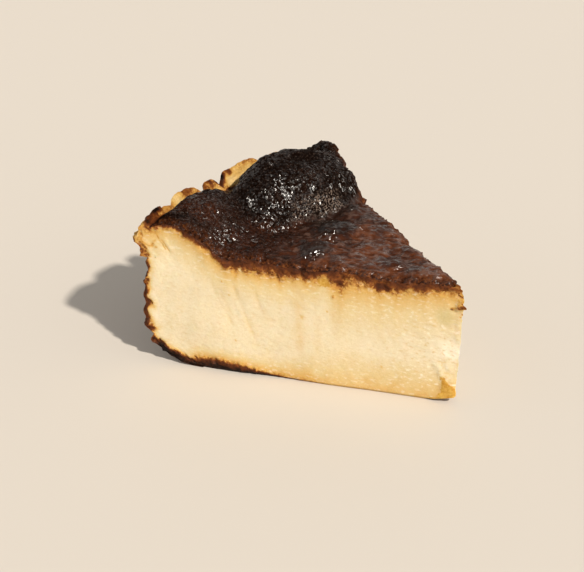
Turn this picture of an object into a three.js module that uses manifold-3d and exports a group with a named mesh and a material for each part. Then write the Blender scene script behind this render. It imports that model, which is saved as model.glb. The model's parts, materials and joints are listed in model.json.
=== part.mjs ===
// A slice of burnt basque cheesecake, cut from a round cake, standing on its base.
// Units are millimetres, +Z is up, the tip of the slice points along +X.
import * as THREE from 'three';
import { mergeVertices } from 'three/addons/utils/BufferGeometryUtils.js';
import Module from 'manifold-3d';

// Driving dimensions of the whole cake and of the cut
const cakeRadius = 100;
const sliceAngle = 52;
const centreHeight = 40.2;
const rimHeight = 49.5;

// Foot of the cake, rounded where the batter met the tin
const footRoundWidth = 17;
const footRoundHeight = 12;
const tipLift = 3.6;
const tipLiftLength = 15;
const tipCurl = 1.1;
const baseTrim = 1;

// Burnt bubbles of the top: place (radius, degrees from the front cut), reach, top height, fullness
const bubbles = [
  { radius: 83, angle: 36.5, inward: 20.5, outward: 17, frontward: 28, backward: 28, top: 56.6, full: 1.5 },
  { radius: 94, angle: 5, inward: 19, outward: 8, frontward: 40, backward: 33, top: 52.6, full: 1 },
  { radius: 97, angle: 52, inward: 16, outward: 10, frontward: 9, backward: 9, top: 51.8, full: 1 },
];
const creaseRadius = 3;

// The knife draws the crust down along both cuts
const cutRound = { drop: 1.6, width: 4 };

// Upright rim that crept up the folds of the paper lining
const rimWallThickness = 4.2;
const rimRiseStart = 70;
const rimRise = 5.5;
const paperFolds = [
  { angle: 9.6, width: 1.6, depth: 1.4, notch: 1.0 },
  { angle: 19.8, width: 1.5, depth: 2.6, notch: 4.0 },
  { angle: 25.0, width: 1.3, depth: 2.2, notch: 4.4 },
  { angle: 36.0, width: 1.8, depth: 2.0, notch: 1.5 },
  { angle: 45.5, width: 2.4, depth: 2.4, notch: 3.0 },
];
const foldSharpness = 1.3;
const foldDepthAtFoot = 0.3;
const rimRaggedness = 0.28;
const rimRaggedLength = 9;
const lobeSwell = 1.2;
const waistSwell = 2.0;
const waistHeight = 18;

// Crust standing up at the two ends of the rim, and the ear of crust at the front corner
const horns = [
  { angle: 51.2, width: 3.4, rise: 2.4 },
  { angle: 2.6, width: 3.2, rise: 2.6 },
];
const ear = { root: 2, width: 5, reach: 3.4, bottom: 37.6, lip: 1, top: 50, shoulder: 6 };

// Wrinkles of the crust and of the knife cuts
const crustWrinkle = 0.4;
const crustWrinkleLength = 31;
const bubbleWrinkle = 0.22;
const bubbleWrinkleLength = 13;
const cutWaviness = 0.3;
const cutWavinessLength = 34;
const cutBand = 0.9;

// Facets along a cut and up the side
const cutSteps = 48;
const heightSteps = 14;
const ringBias = 0.42;
const rimHold = 4;
const weldDistance = 1e-4;

const degrees = Math.PI / 180;

function smoothStep(from, to, value) {
  return THREE.MathUtils.smoothstep(value, from, to);
}

// Sum of plane waves in turned directions, each shorter and lower than the one before
function wrinkle(x, y, length) {
  const waves = 5;
  const turn = 2.4;
  const shorten = 1.45;
  let sum = 0;
  for (let k = 0; k < waves; k++) {
    const along = x * Math.cos(turn * k) + y * Math.sin(turn * k);
    sum += Math.sin((2 * Math.PI * along * shorten ** k) / length + turn * k) / (k + 1);
  }
  return sum;
}

// The larger of two heights, with a fillet of the given radius where they meet
function filletMax(first, second, radius) {
  const blend = Math.max(0, radius - Math.abs(first - second)) / radius;
  return Math.max(first, second) + (blend * blend * radius) / 4;
}

// One bubble: a cap over an ellipse whose four reaches differ
function bubbleTop(bubble, radius, angle) {
  const turn = (angle - bubble.angle) * degrees;
  const outward = radius * Math.cos(turn) - bubble.radius;
  const sideways = radius * Math.sin(turn);
  const reachOut = outward < 0 ? bubble.inward : bubble.outward;
  const reachSide = sideways < 0 ? bubble.frontward : bubble.backward;
  const spread = (outward / reachOut) ** 2 + (sideways / reachSide) ** 2;
  const cap = Math.max(0, 1 - spread ** bubble.full);
  return centreHeight + (bubble.top - centreHeight) * cap;
}

// A paper fold as a number from 0, clear of it, to 1, in its crease
function foldShare(fold, angle) {
  return Math.max(0, 1 - Math.abs(angle - fold.angle) / fold.width) ** foldSharpness;
}

function rimWallTop(angle) {
  const along = cakeRadius * angle * degrees;
  let top = rimHeight + rimRaggedness * wrinkle(along, 0, rimRaggedLength);
  for (const fold of paperFolds) {
    top -= fold.notch * foldShare(fold, angle);
  }
  for (const horn of horns) {
    const share = Math.max(0, 1 - Math.abs(angle - horn.angle) / horn.width);
    top += horn.rise * Math.sqrt(share);
  }
  return top;
}

// Height of the top crust over a point of the slice
function topHeight(radius, angle) {
  let height = centreHeight + rimRise * smoothStep(rimRiseStart, cakeRadius - rimWallThickness, radius);
  const x = radius * Math.cos(angle * degrees);
  const y = radius * Math.sin(angle * degrees);
  for (const bubble of bubbles) {
    const creases = bubbleWrinkle * wrinkle(y, x, bubbleWrinkleLength);
    height = filletMax(height, bubbleTop(bubble, radius, angle) + creases, creaseRadius);
  }
  height += crustWrinkle * wrinkle(x, y, crustWrinkleLength);
  const fromCut = radius * Math.sin(Math.min(angle, sliceAngle - angle) * degrees);
  height -= cutRound.drop * Math.max(0, 1 - fromCut / cutRound.width) ** 2;
  const wallFoot = cakeRadius - rimWallThickness;
  const wallShare = smoothStep(wallFoot, wallFoot + rimWallThickness / 2, radius);
  return THREE.MathUtils.lerp(height, rimWallTop(angle), wallShare);
}

// How far the outside stands from the nominal radius at a height
function rimOffset(angle, z) {
  const share = THREE.MathUtils.clamp(1 - z / footRoundHeight, 0, 1);
  let offset = -footRoundWidth * (1 - Math.sqrt(1 - share * share));
  offset += waistSwell * Math.exp(-(((z - waistHeight) / footRoundHeight) ** 2));
  const upwards = THREE.MathUtils.clamp(z / rimHeight, 0, 1);
  let crease = 0;
  for (const fold of paperFolds) {
    crease += fold.depth * foldShare(fold, angle);
  }
  offset += THREE.MathUtils.lerp(foldDepthAtFoot, 1, upwards) * (lobeSwell - crease);
  const earShare = 1 - smoothStep(ear.root, ear.width, angle);
  const aboveLip = smoothStep(ear.bottom, ear.bottom + ear.lip, z);
  const belowTop = 1 - smoothStep(ear.top - ear.shoulder, ear.top, z);
  return offset + ear.reach * earShare * aboveLip * belowTop;
}

// Underside before the base is trimmed flat: it curls up under the tip
function bottomHeight(radius) {
  const share = THREE.MathUtils.clamp(1 - radius / tipLiftLength, 0, 1);
  return -baseTrim + (tipLift + baseTrim) * share ** tipCurl;
}

// A point of the unit cube carried into the slice: two of its sides become the two cuts
function carryPoint(point) {
  const towardsBack = point.x + 0.5;
  const towardsFront = point.y + 0.5;
  const ring = Math.max(towardsBack, towardsFront);
  let share = 0.5;
  if (ring > 0) {
    share = towardsFront >= towardsBack
      ? (0.5 * towardsBack) / towardsFront
      : 1 - (0.5 * towardsFront) / towardsBack;
  }
  const angle = share * sliceAngle;
  const ringShare = ring * (1 + ringBias - ringBias * ring);
  const nominal = cakeRadius * ringShare;
  const bottom = bottomHeight(nominal);
  const z = THREE.MathUtils.lerp(bottom, topHeight(nominal, angle), point.z + 0.5);
  const radius = nominal + rimOffset(angle, z) * ringShare ** rimHold;
  const turn = (angle - sliceAngle / 2) * degrees;
  const cutSide = smoothStep(cutBand, 1, 2 * Math.abs(share - 0.5)) * Math.sign(share - 0.5);
  const sway = cutSide * ringShare * cutWaviness * wrinkle(radius, z, cutWavinessLength);
  point.x = -radius * Math.cos(turn) + sway * Math.sin(turn);
  point.y = radius * Math.sin(turn) + sway * Math.cos(turn);
  point.z = z;
}

function bareGeometry(geometry) {
  geometry.deleteAttribute('normal');
  geometry.deleteAttribute('uv');
  return mergeVertices(geometry, weldDistance);
}

const wasm = await Module();
wasm.setup();

function toSolid(geometry) {
  return new wasm.Manifold(new wasm.Mesh({
    numProp: 3,
    vertProperties: new Float32Array(geometry.attributes.position.array),
    triVerts: new Uint32Array(geometry.index.array),
  }));
}

function toGeometry(solid) {
  const mesh = solid.getMesh();
  const geometry = new THREE.BufferGeometry();
  geometry.setAttribute('position', new THREE.BufferAttribute(mesh.vertProperties, 3));
  geometry.setIndex(new THREE.BufferAttribute(mesh.triVerts, 1));
  geometry.computeVertexNormals();
  return geometry;
}

function wedgeGeometry() {
  const cube = bareGeometry(new THREE.BoxGeometry(1, 1, 1, cutSteps, cutSteps, heightSteps));
  const position = cube.attributes.position;
  const point = new THREE.Vector3();
  for (let k = 0; k < position.count; k++) {
    point.fromBufferAttribute(position, k);
    carryPoint(point);
    position.setXYZ(k, point.x, point.y, point.z);
  }
  return cube;
}

// Everything below the table line, taken off so that the base is one flat face
function trimGeometry() {
  const span = 4 * cakeRadius;
  const block = new THREE.BoxGeometry(span, span, cakeRadius);
  block.translate(0, 0, -cakeRadius / 2);
  return bareGeometry(block);
}

function sliceGeometry() {
  const trimmed = toSolid(wedgeGeometry()).subtract(toSolid(trimGeometry()));
  const geometry = toGeometry(trimmed);
  geometry.computeBoundingBox();
  const middle = geometry.boundingBox.getCenter(new THREE.Vector3());
  geometry.translate(-middle.x, -middle.y, 0);
  return geometry;
}

const bakedCustard = new THREE.MeshStandardMaterial({ color: 0xe9cf98, roughness: 0.6, metalness: 0 });

const slice = new THREE.Mesh(sliceGeometry(), bakedCustard);
slice.name = 'cheesecake_slice';

const part = new THREE.Group();
part.name = 'basque_cheesecake_slice';
part.add(slice);

export default part;
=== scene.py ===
# Slice of burnt basque cheesecake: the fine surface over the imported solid, its finishes, light and view
import json
import math

import bpy
import numpy as np
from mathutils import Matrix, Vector


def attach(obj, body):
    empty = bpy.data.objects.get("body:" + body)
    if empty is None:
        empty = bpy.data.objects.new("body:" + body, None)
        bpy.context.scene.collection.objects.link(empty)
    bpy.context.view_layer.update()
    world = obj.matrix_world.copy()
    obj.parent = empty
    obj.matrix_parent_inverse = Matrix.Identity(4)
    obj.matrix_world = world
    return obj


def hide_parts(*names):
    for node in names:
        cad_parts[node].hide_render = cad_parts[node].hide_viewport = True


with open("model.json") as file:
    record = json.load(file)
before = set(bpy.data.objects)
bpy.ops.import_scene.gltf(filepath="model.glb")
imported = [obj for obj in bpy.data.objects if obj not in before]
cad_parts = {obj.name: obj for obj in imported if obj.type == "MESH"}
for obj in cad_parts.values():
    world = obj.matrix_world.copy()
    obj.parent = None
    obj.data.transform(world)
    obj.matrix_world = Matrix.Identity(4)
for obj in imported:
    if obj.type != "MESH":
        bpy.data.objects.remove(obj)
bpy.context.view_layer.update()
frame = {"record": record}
mm = 0.001
degree = math.pi / 180

axisFromMount = 60 * mm   # the cake's axis, where the tip stands, lies this far in front of the base mount
baseMount = next(mount for mount in frame["record"]["mounts"] if mount["name"] == "base")
cakeAxis = Vector(baseMount["pos_m"]) + Vector((axisFromMount, 0, 0))
print("frame loaded, cake axis at", [round(part, 5) for part in cakeAxis])


# small sums used by every shape

def smoothStep(start, end, value):  # 0 at start, 1 at end, an S between them; start may be the larger
    share = np.clip((value - start) / (end - start), 0, 1)
    return share * share * (3 - 2 * share)


def blend(first, second, share):  # first where share is 0, second where it is 1
    return first + (second - first) * share


def fade(value, first, second, start, end):  # first at start, second at end, an S between them
    return blend(first, second, smoothStep(start, end, value))


def filletMax(first, second, radius):  # the larger of two heights, with a fillet where they meet
    near = np.maximum(0, radius - np.abs(first - second)) / radius
    return np.maximum(first, second) + near * near * radius / 4


def bell(value, middle, width):  # 1 at the middle, falling away like a bell
    return np.exp(-((value - middle) / width) ** 2)


def spotShare(across, up, size, core):  # 1 inside the core's share of the size, 0 outside the size
    return smoothStep(size, core * size, np.hypot(across, up))


def stacked(*parts):  # one row of numbers for each spot
    return np.stack(np.broadcast_arrays(*parts), axis=1)


def waveSum(x, y, height, length):  # five turned plane waves, each shorter and lower than the last
    waves, turn, shorten = 5, 2.4, 1.45
    total = 0
    for k in range(waves):
        along = x * math.cos(turn * k) + y * math.sin(turn * k)
        total = total + np.sin(2 * math.pi * along * shorten ** k / length + turn * k) / (k + 1)
    return height * total


latticeMix = {"axes": np.array([374761393, 668265263, 1442695041]), "seed": 974711, "stir": 1274126177,
              "word": 0xFFFFFFFF, "half": 0xFFFF}


def latticeNumber(cell, seed):  # a fixed number from -1 to 1 for each whole-numbered cell, by mixing its bits
    mixed = (cell @ latticeMix["axes"] + seed * latticeMix["seed"]) & latticeMix["word"]
    mixed = ((mixed ^ (mixed >> 13)) * latticeMix["stir"]) & latticeMix["word"]
    return ((mixed ^ (mixed >> 16)) & latticeMix["half"]) / (latticeMix["half"] / 2) - 1


def latticeVector(cell, seed):  # three such numbers for each cell
    return np.stack([latticeNumber(cell, seed + axis) for axis in range(3)], axis=1)


def softNoise(points, size, seed):  # lattice numbers at the eight corners of a cell, blended by an S curve
    scaled = points / size
    cell = np.floor(scaled).astype(np.int64)
    inside = smoothStep(0, 1, scaled - cell)
    total = np.zeros(len(points))
    for corner in range(8):
        step = np.array([corner & 1, (corner >> 1) & 1, corner >> 2])
        weight = np.prod(np.where(step, inside, 1 - inside), axis=1)
        total += weight * latticeNumber(cell + step, seed)
    return total


def layeredNoise(points, height, size, layers, seed):  # soft noise plus finer copies, each half as high
    return height * sum(softNoise(points, size / 2 ** k, seed + k) / 2 ** k for k in range(layers))


def creaseNoise(points, height, middle, size, layers, seed):  # sharp crests over hollows, less the middle
    crests = sum((1 - np.abs(softNoise(points, size / 2 ** k, seed + k))) / 2 ** k for k in range(layers))
    return height * (crests / sum(0.5 ** k for k in range(layers)) - middle)


def strewnCells(points, size, seed):  # the 27 cells round each spot, and the way from each one's strewn point
    scaled = points / size
    cell = np.floor(scaled).astype(np.int64)
    for corner in range(27):
        home = cell + np.array([corner % 3 - 1, corner // 3 % 3 - 1, corner // 9 - 1])
        yield home, scaled - home - (latticeVector(home, seed) * 0.5 + 0.5)


def cellDistance(points, size, seed):  # distance to the nearest of points strewn one to a cell, in cells
    nearest = np.full(len(points), np.inf)
    for _, away in strewnCells(points, size, seed):
        nearest = np.minimum(nearest, np.linalg.norm(away, axis=1))
    return nearest


def facetNoise(points, height, size, seed):  # flat facets, one round each strewn point, tilted at random
    nearest, lift = np.full(len(points), np.inf), np.zeros(len(points))
    for home, away in strewnCells(points, size, seed):
        distance = np.linalg.norm(away, axis=1)
        lift = np.where(distance < nearest, np.sum(away * latticeVector(home, seed + 3), axis=1), lift)
        nearest = np.minimum(nearest, distance)
    return height * lift


# the cake's form, in millimetres and degrees from the front cut; noise is height, size, layers and seed

cakeForm = {
    "radius": 100.0,
    "angle": 52.0,
    "centreHeight": 40.2,
    "rimHeight": 49.5,
    "footRound": (17.0, 12.0),           # width and height of the rounded foot
    "tipLift": (2.6, 15.0, 1.1, 1.0),    # height, length and curl of the base under the tip, depth cut off
    "flankWay": (0.785, 0.617),          # the way to a bubble's fuller flank: share inward, share frontward
    "bubbles": [                         # radius, angle, reaches inward, outward, frontward and backward,
        (83.0, 36.5, 20.5, 14.5, 28.0, 28.0, 56.6, 1.5, 1.3),   # top, fullness, extra fullness of that flank
        (92.5, 9.0, 19.5, 9.0, 45.0, 34.0, 52.3, 1.0, 0.0),
        (75.0, 22.5, 10.5, 12.0, 9.0, 14.0, 47.2, 1.2, 0.0),
        (97.0, 51.5, 17.0, 10.0, 10.0, 9.0, 51.4, 1.0, 0.0),
    ],
    "creaseRadius": 3.0,
    "bubbleLumps": (0.22, 13.0),         # height and length of the bubbles' long waves
    "plainLumps": (0.4, 31.0),           # and of the whole top's
    "cutRound": (1.4, 3.4),              # drop and width of the crust drawn down by the knife
    "cutHold": (0.7, (2, 8), (26, 40)),  # share of it held back, by rise above the centre and by angle
    "cutSway": (0.3, 34.0),              # height and length of the cuts' long waves
    "cutBand": 0.9,                      # share of the way to a cut where they start
    "wall": (96.8, 99.6),                # the thin wall of the rim rises between these radii
    "rimRise": (5.5, 70.0, 95.8),        # height of the rise towards the rim, and its radii
    "backEdge": (                        # radii, and how far the edge along the back cut is lifted there
        (5, 10, 16, 22, 25, 33, 36, 44, 50, 56, 62, 66, 68, 70, 76, 80.4, 84.6, 86, 88.4, 92.7, 97),
        (-0.7, -0.7, -0.3, -0.9, -1.4, -1.2, -0.4, 0.8, 0.3, -1, -0.3, -0.4, -1.5, 0.4, -0.6, -1.8, -1.2,
         0.2, 1.1, 1.9, 0.4)),
    "backEdgeAngles": (43, 50),
    "groove": (0.9, 97.0, 1.5),          # depth, radius and width of the gap between crust and wall
    "grooveEnds": ((5, 9), (47, 44)),    # angles where it starts and where it ends
    "wallHeights": (                     # angles, and the wall's top there
        (0, 8.5, 10.5, 12.5, 15, 18, 22.8, 25.1, 27.9, 30.5, 33.7, 36.6, 41, 47, 52),
        (49.0, 49.6, 49.6, 50.4, 50.4, 49.2, 48.9, 48.9, 49.6, 50.5, 51.2, 50.6, 50.4, 49.6, 49.2)),
    "wallRag": (0.30, 3.6, 3, 11),
    "folds": [                           # paper folds: angle, width, depth of the crease, notch in the top
        (9.6, 2.2, 1.4, 0.9),
        (19.9, 2.0, 2.6, 4.0),
        (25.1, 1.8, 1.6, 3.0),
        (36.0, 2.2, 2.0, 1.5),
        (45.5, 2.6, 2.4, 3.0),
    ],
    "foldSharpness": 2.0,
    "foldAtFoot": 0.3,
    "lobeSwell": 1.2,
    "waist": (2.0, 18.0),                # swell of the side and its height
    "horns": [(50.6, 2.2, 1.8), (3.2, 4.0, 2.8)],   # angle, width, rise
    "earAngles": (5.6, 1.6),             # where the ear of crust at the front corner starts, and is full
    "earReach": (                        # heights, and its reach there
        (38.0, 38.5, 39.4, 40.2, 42.4, 44.0, 45.2, 46.4, 48.5, 49.4, 50.2),
        (0.0, 1.9, 2.3, 2.7, 3.1, 3.5, 2.5, 2.2, 1.8, 0.4, 0.0)),
    "earTear": (0.22, 2.4, 3, 13),
    "earSag": (0.4, 38.9, 0.8, 2.0),     # drop of its lower lip, height, thickness, reach that hangs fully
    "tipEdge": (                         # heights, and the reach of the tip there
        (0, 7, 12, 23, 32, 33.4, 34.1, 34.6, 35.1, 36, 37.4, 38.4, 40),
        (-0.4, -0.4, 0.0, 0.3, 0.5, 0.7, 1.3, 1.4, 0.5, 0.7, 0.9, 0.6, 0.2)),
    "tipEdgeReach": 1.4,
    "cornerLumps": [                     # lumps and dents beside the front cut: height, size, rise
        (28.4, 2.4, 0.5), (24.0, 1.8, 0.7), (21.2, 1.0, -0.3), (18.4, 2.2, 0.6), (14.6, 0.8, -0.5),
        (13.2, 1.3, 1.2), (10.3, 1.4, -1.6), (7.4, 1.1, 0.9), (34.5, 2.8, -0.9),
    ],
    "cornerAngles": (4.5, 1.2),
}


def cutDistance(radius, angle):  # how far a spot lies from the nearer cut
    return radius * np.sin(np.minimum(angle, cakeForm["angle"] - angle) * degree)


def bubbleTop(bubble, radius, angle):  # centre height plus a cap 1 - spread^fullness on a four-reach ellipse
    atRadius, atAngle, inward, outward, frontward, backward, top, fullness, swell = bubble
    turn = (angle - atAngle) * degree
    out = radius * np.cos(turn) - atRadius
    side = radius * np.sin(turn)
    outShare = out / np.where(out < 0, inward, outward)
    sideShare = side / np.where(side < 0, frontward, backward)
    wayIn, wayFront = cakeForm["flankWay"]
    away = np.maximum(np.hypot(out, side), 0.1)   # kept off zero at the bubble's middle
    flank = np.clip(-(wayIn * out + wayFront * side) / away, 0, 1) ** 2
    cap = np.maximum(0, 1 - (outShare ** 2 + sideShare ** 2) ** (fullness + swell * flank))
    return cakeForm["centreHeight"] + (top - cakeForm["centreHeight"]) * cap


def foldShare(fold, angle):  # 1 in the crease, falling to 0 at its width
    return np.maximum(0, 1 - np.abs(angle - fold[0]) / fold[1]) ** cakeForm["foldSharpness"]


def wallTop(angle):  # the wall's height with a ragged edge, less the fold notches, plus the horns
    around = stacked(cakeForm["radius"] * angle * degree, 0, 0)
    top = np.interp(angle, *cakeForm["wallHeights"]) + layeredNoise(around, *cakeForm["wallRag"])
    for fold in cakeForm["folds"]:
        top = top - fold[3] * foldShare(fold, angle)
    for atAngle, width, rise in cakeForm["horns"]:
        top = top + rise * np.sqrt(np.maximum(0, 1 - np.abs(angle - atAngle) / width))
    return top


def plainHeight(radius):  # the plain top: centre height plus an S towards the rim
    rise, start, end = cakeForm["rimRise"]
    return cakeForm["centreHeight"] + rise * smoothStep(start, end, radius)


def crustHeight(radius, angle):  # the plain top with bubbles filleted into it and both cuts' edges drawn down
    form = cakeForm
    height = plainHeight(radius)
    x = radius * np.cos(angle * degree)
    y = radius * np.sin(angle * degree)
    lumps = waveSum(y, x, *form["bubbleLumps"])
    for bubble in form["bubbles"]:
        height = filletMax(height, bubbleTop(bubble, radius, angle) + lumps, form["creaseRadius"])
    height = height + waveSum(x, y, *form["plainLumps"])
    height = height + np.interp(radius, *form["backEdge"]) * smoothStep(*form["backEdgeAngles"], angle)
    depth, atRadius, width = form["groove"]
    starts, ends = (smoothStep(*angles, angle) for angles in form["grooveEnds"])
    height = height - depth * bell(radius, atRadius, width) * starts * ends
    drop, reach = form["cutRound"]
    held, rises, angles = form["cutHold"]
    risen = smoothStep(*rises, height - form["centreHeight"]) * smoothStep(*angles, angle)
    nearCut = np.maximum(0, 1 - cutDistance(radius, angle) / reach) ** 2
    return height - drop * (1 - held * risen) * nearCut


def topHeight(radius, angle):  # the crust, blended into the top of the wall between its foot and its head
    return blend(crustHeight(radius, angle), wallTop(angle), smoothStep(*cakeForm["wall"], radius))


def rimOffset(angle, z):  # how far the side stands from the nominal radius: foot, waist and folds
    form = cakeForm
    width, height = form["footRound"]
    share = np.clip(1 - z / height, 0, 1)
    offset = -width * (1 - np.sqrt(1 - share * share))
    swell, swellHeight = form["waist"]
    offset = offset + swell * bell(z, swellHeight, height)
    crease = sum(fold[2] * foldShare(fold, angle) for fold in form["folds"])
    upward = np.clip(z / form["rimHeight"], 0, 1)
    return offset + blend(form["foldAtFoot"], 1, upward) * (form["lobeSwell"] - crease)


def earOffset(angle, z):  # the ear's reach by height with a torn edge, and the lumps of the corner below it
    form = cakeForm
    torn = 1 + layeredNoise(stacked(z, 0, angle), *form["earTear"])
    offset = np.interp(z, *form["earReach"]) * torn * smoothStep(*form["earAngles"], angle)
    lumps = sum(rise * bell(z, height, size) for height, size, rise in form["cornerLumps"])
    return offset + lumps * smoothStep(*form["cornerAngles"], angle)


def bottomHeight(radius):  # flat on the table, curling up under the tip
    lift, length, curl, trim = cakeForm["tipLift"]
    return np.maximum(0, (lift + trim) * np.clip(1 - radius / length, 0, 1) ** curl - trim)


# the skin of the slice: a block of cells whose five outer sides become top, two cuts and the rim

sliceMesh = {
    "across": 184,       # cells along each cut
    "up": 70,            # cells from base to top
    "ringBias": 0.42,    # finer cells towards the rim
    "upBias": 1.5,       # finer cells towards the foot
    "topBias": 0.7,      # and a little finer towards the top
    "rimHold": 4,        # how closely the side's form stays at the rim
    "earHold": 14,
    "baseRings": (0.94, 0.8, 0.55, 0.25),
    "baseSettle": 4,     # how quickly these rings come down to the table
    "baseDepth": 0.4,    # browning of the base
    "sharpAngle": 62.0,
    "sheetSlots": (0, 1, 1, 2, 2),   # finishes of the top, the two cuts and the two halves of the rim
    "bubbleSlot": (3, 0.3),          # finish of the burnt bubbles, and how gritty the top is there
}


def blockSheets(across, up):  # keys of the points of each outer side, rows and columns turned outward
    def key(i, j, k):  # layer, row and column counted as one whole number
        return (i * (across + 1) + j) * (up + 1) + k
    wide = np.arange(across + 1)
    i, j = np.meshgrid(wide, wide, indexing="ij")
    p, k = np.meshgrid(wide, np.arange(up + 1), indexing="ij")
    return [key(i, j, up), key(0, p, k).T, key(p, 0, k), key(p, across, k).T, key(across, p, k)]


def sheetQuads(sheet):  # four neighbouring keys for each cell of a sheet
    corners = [sheet[:-1, :-1], sheet[1:, :-1], sheet[1:, 1:], sheet[:-1, 1:]]
    return np.stack(corners, axis=-1).reshape(-1, 4)


def pointNormals(points, quads):  # sum of the neighbouring faces' normals, made one long
    corners = points[quads]
    facing = np.cross(corners[:, 2] - corners[:, 0], corners[:, 3] - corners[:, 1])
    normals = np.stack([np.bincount(quads.ravel(), np.repeat(facing[:, axis], 4), len(points))
                        for axis in range(3)], axis=1)
    return normals / np.maximum(np.linalg.norm(normals, axis=1, keepdims=True), 1e-12)


def nearestOnLine(spots, line):  # least distance to a line of points, with two put between each pair
    steps = np.linspace(0, len(line) - 1, 3 * len(line) - 2)
    fine = np.stack([np.interp(steps, np.arange(len(line)), line[:, axis]) for axis in range(2)], axis=1)
    return np.min(np.linalg.norm(spots[:, None, :] - fine[None, :, :], axis=2), axis=1)


def sliceSkin():  # each point of the block carried to its angle, radius and height between base and top
    across, up = sliceMesh["across"], sliceMesh["up"]
    sheets = blockSheets(across, up)
    quadKeys = [sheetQuads(sheet) for sheet in sheets]
    keys, quads = np.unique(np.concatenate(quadKeys), return_inverse=True)
    quads = quads.reshape(-1, 4)
    sheetOf = np.repeat(np.arange(len(sheets)), [len(part) for part in quadKeys])
    k = keys % (up + 1)
    j = keys // (up + 1) % (across + 1)
    i = keys // ((up + 1) * (across + 1))
    towardsBack, towardsFront = i / across, j / across
    ring = np.maximum(towardsBack, towardsFront)
    share = np.where(towardsFront >= towardsBack, 0.5 * towardsBack / np.maximum(towardsFront, 1e-9),
                     1 - 0.5 * towardsFront / np.maximum(towardsBack, 1e-9))
    share = np.where(ring > 0, share, 0.5)
    angle = share * cakeForm["angle"]
    ringShare = ring * (1 + sliceMesh["ringBias"] * (1 - ring))
    nominal = cakeForm["radius"] * ringShare
    rowShare = (k / up) ** sliceMesh["upBias"] * (1 + sliceMesh["topBias"] * (1 - k / up))
    z = blend(bottomHeight(nominal), topHeight(nominal, angle), rowShare)
    ear = earOffset(angle, z) * ringShare ** sliceMesh["earHold"]
    radius = nominal + rimOffset(angle, z) * ringShare ** sliceMesh["rimHold"] + ear
    sag, sagHeight, sagSize, fullReach = cakeForm["earSag"]
    lowered = z - sag * bell(z, sagHeight, sagSize) * np.clip(ear / fullReach, 0, 1)
    cutSide = smoothStep(cakeForm["cutBand"], 1, 2 * np.abs(share - 0.5)) * np.sign(share - 0.5)
    sway = cutSide * ringShare * waveSum(radius, z, *cakeForm["cutSway"])
    turn = (angle - cakeForm["angle"] / 2) * degree
    points = stacked(-radius * np.cos(turn) + sway * np.sin(turn),
                     radius * np.sin(turn) + sway * np.cos(turn), lowered)
    sides = {"top": k == up, "front": i == 0, "back": j == 0, "rim": (i == across) | (j == across)}
    edgeRows = {   # the points of each cut at the rim, at the top and at the base
        "front": [(j == across) & (i == 0), (k == up) & (i == 0), (k == 0) & (i == 0)],
        "back": [(i == across) & (j == 0), (k == up) & (j == 0), (k == 0) & (j == 0)],
    }
    loop = np.concatenate([sheets[1][0, :-1], sheets[3][0, :-1], sheets[4][:0:-1, 0], sheets[2][:0:-1, 0]])
    loop = np.searchsorted(keys, loop)
    place = {"nominal": nominal, "angle": angle, "radius": radius, "z": z, "points": points,
             "inFront": angle < cakeForm["angle"] / 2}
    return place, quads, sheetOf, sides, edgeRows, loop


# browning of the cuts, as depth below the baked skin in millimetres; seeds are counted from the cut's own

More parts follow.
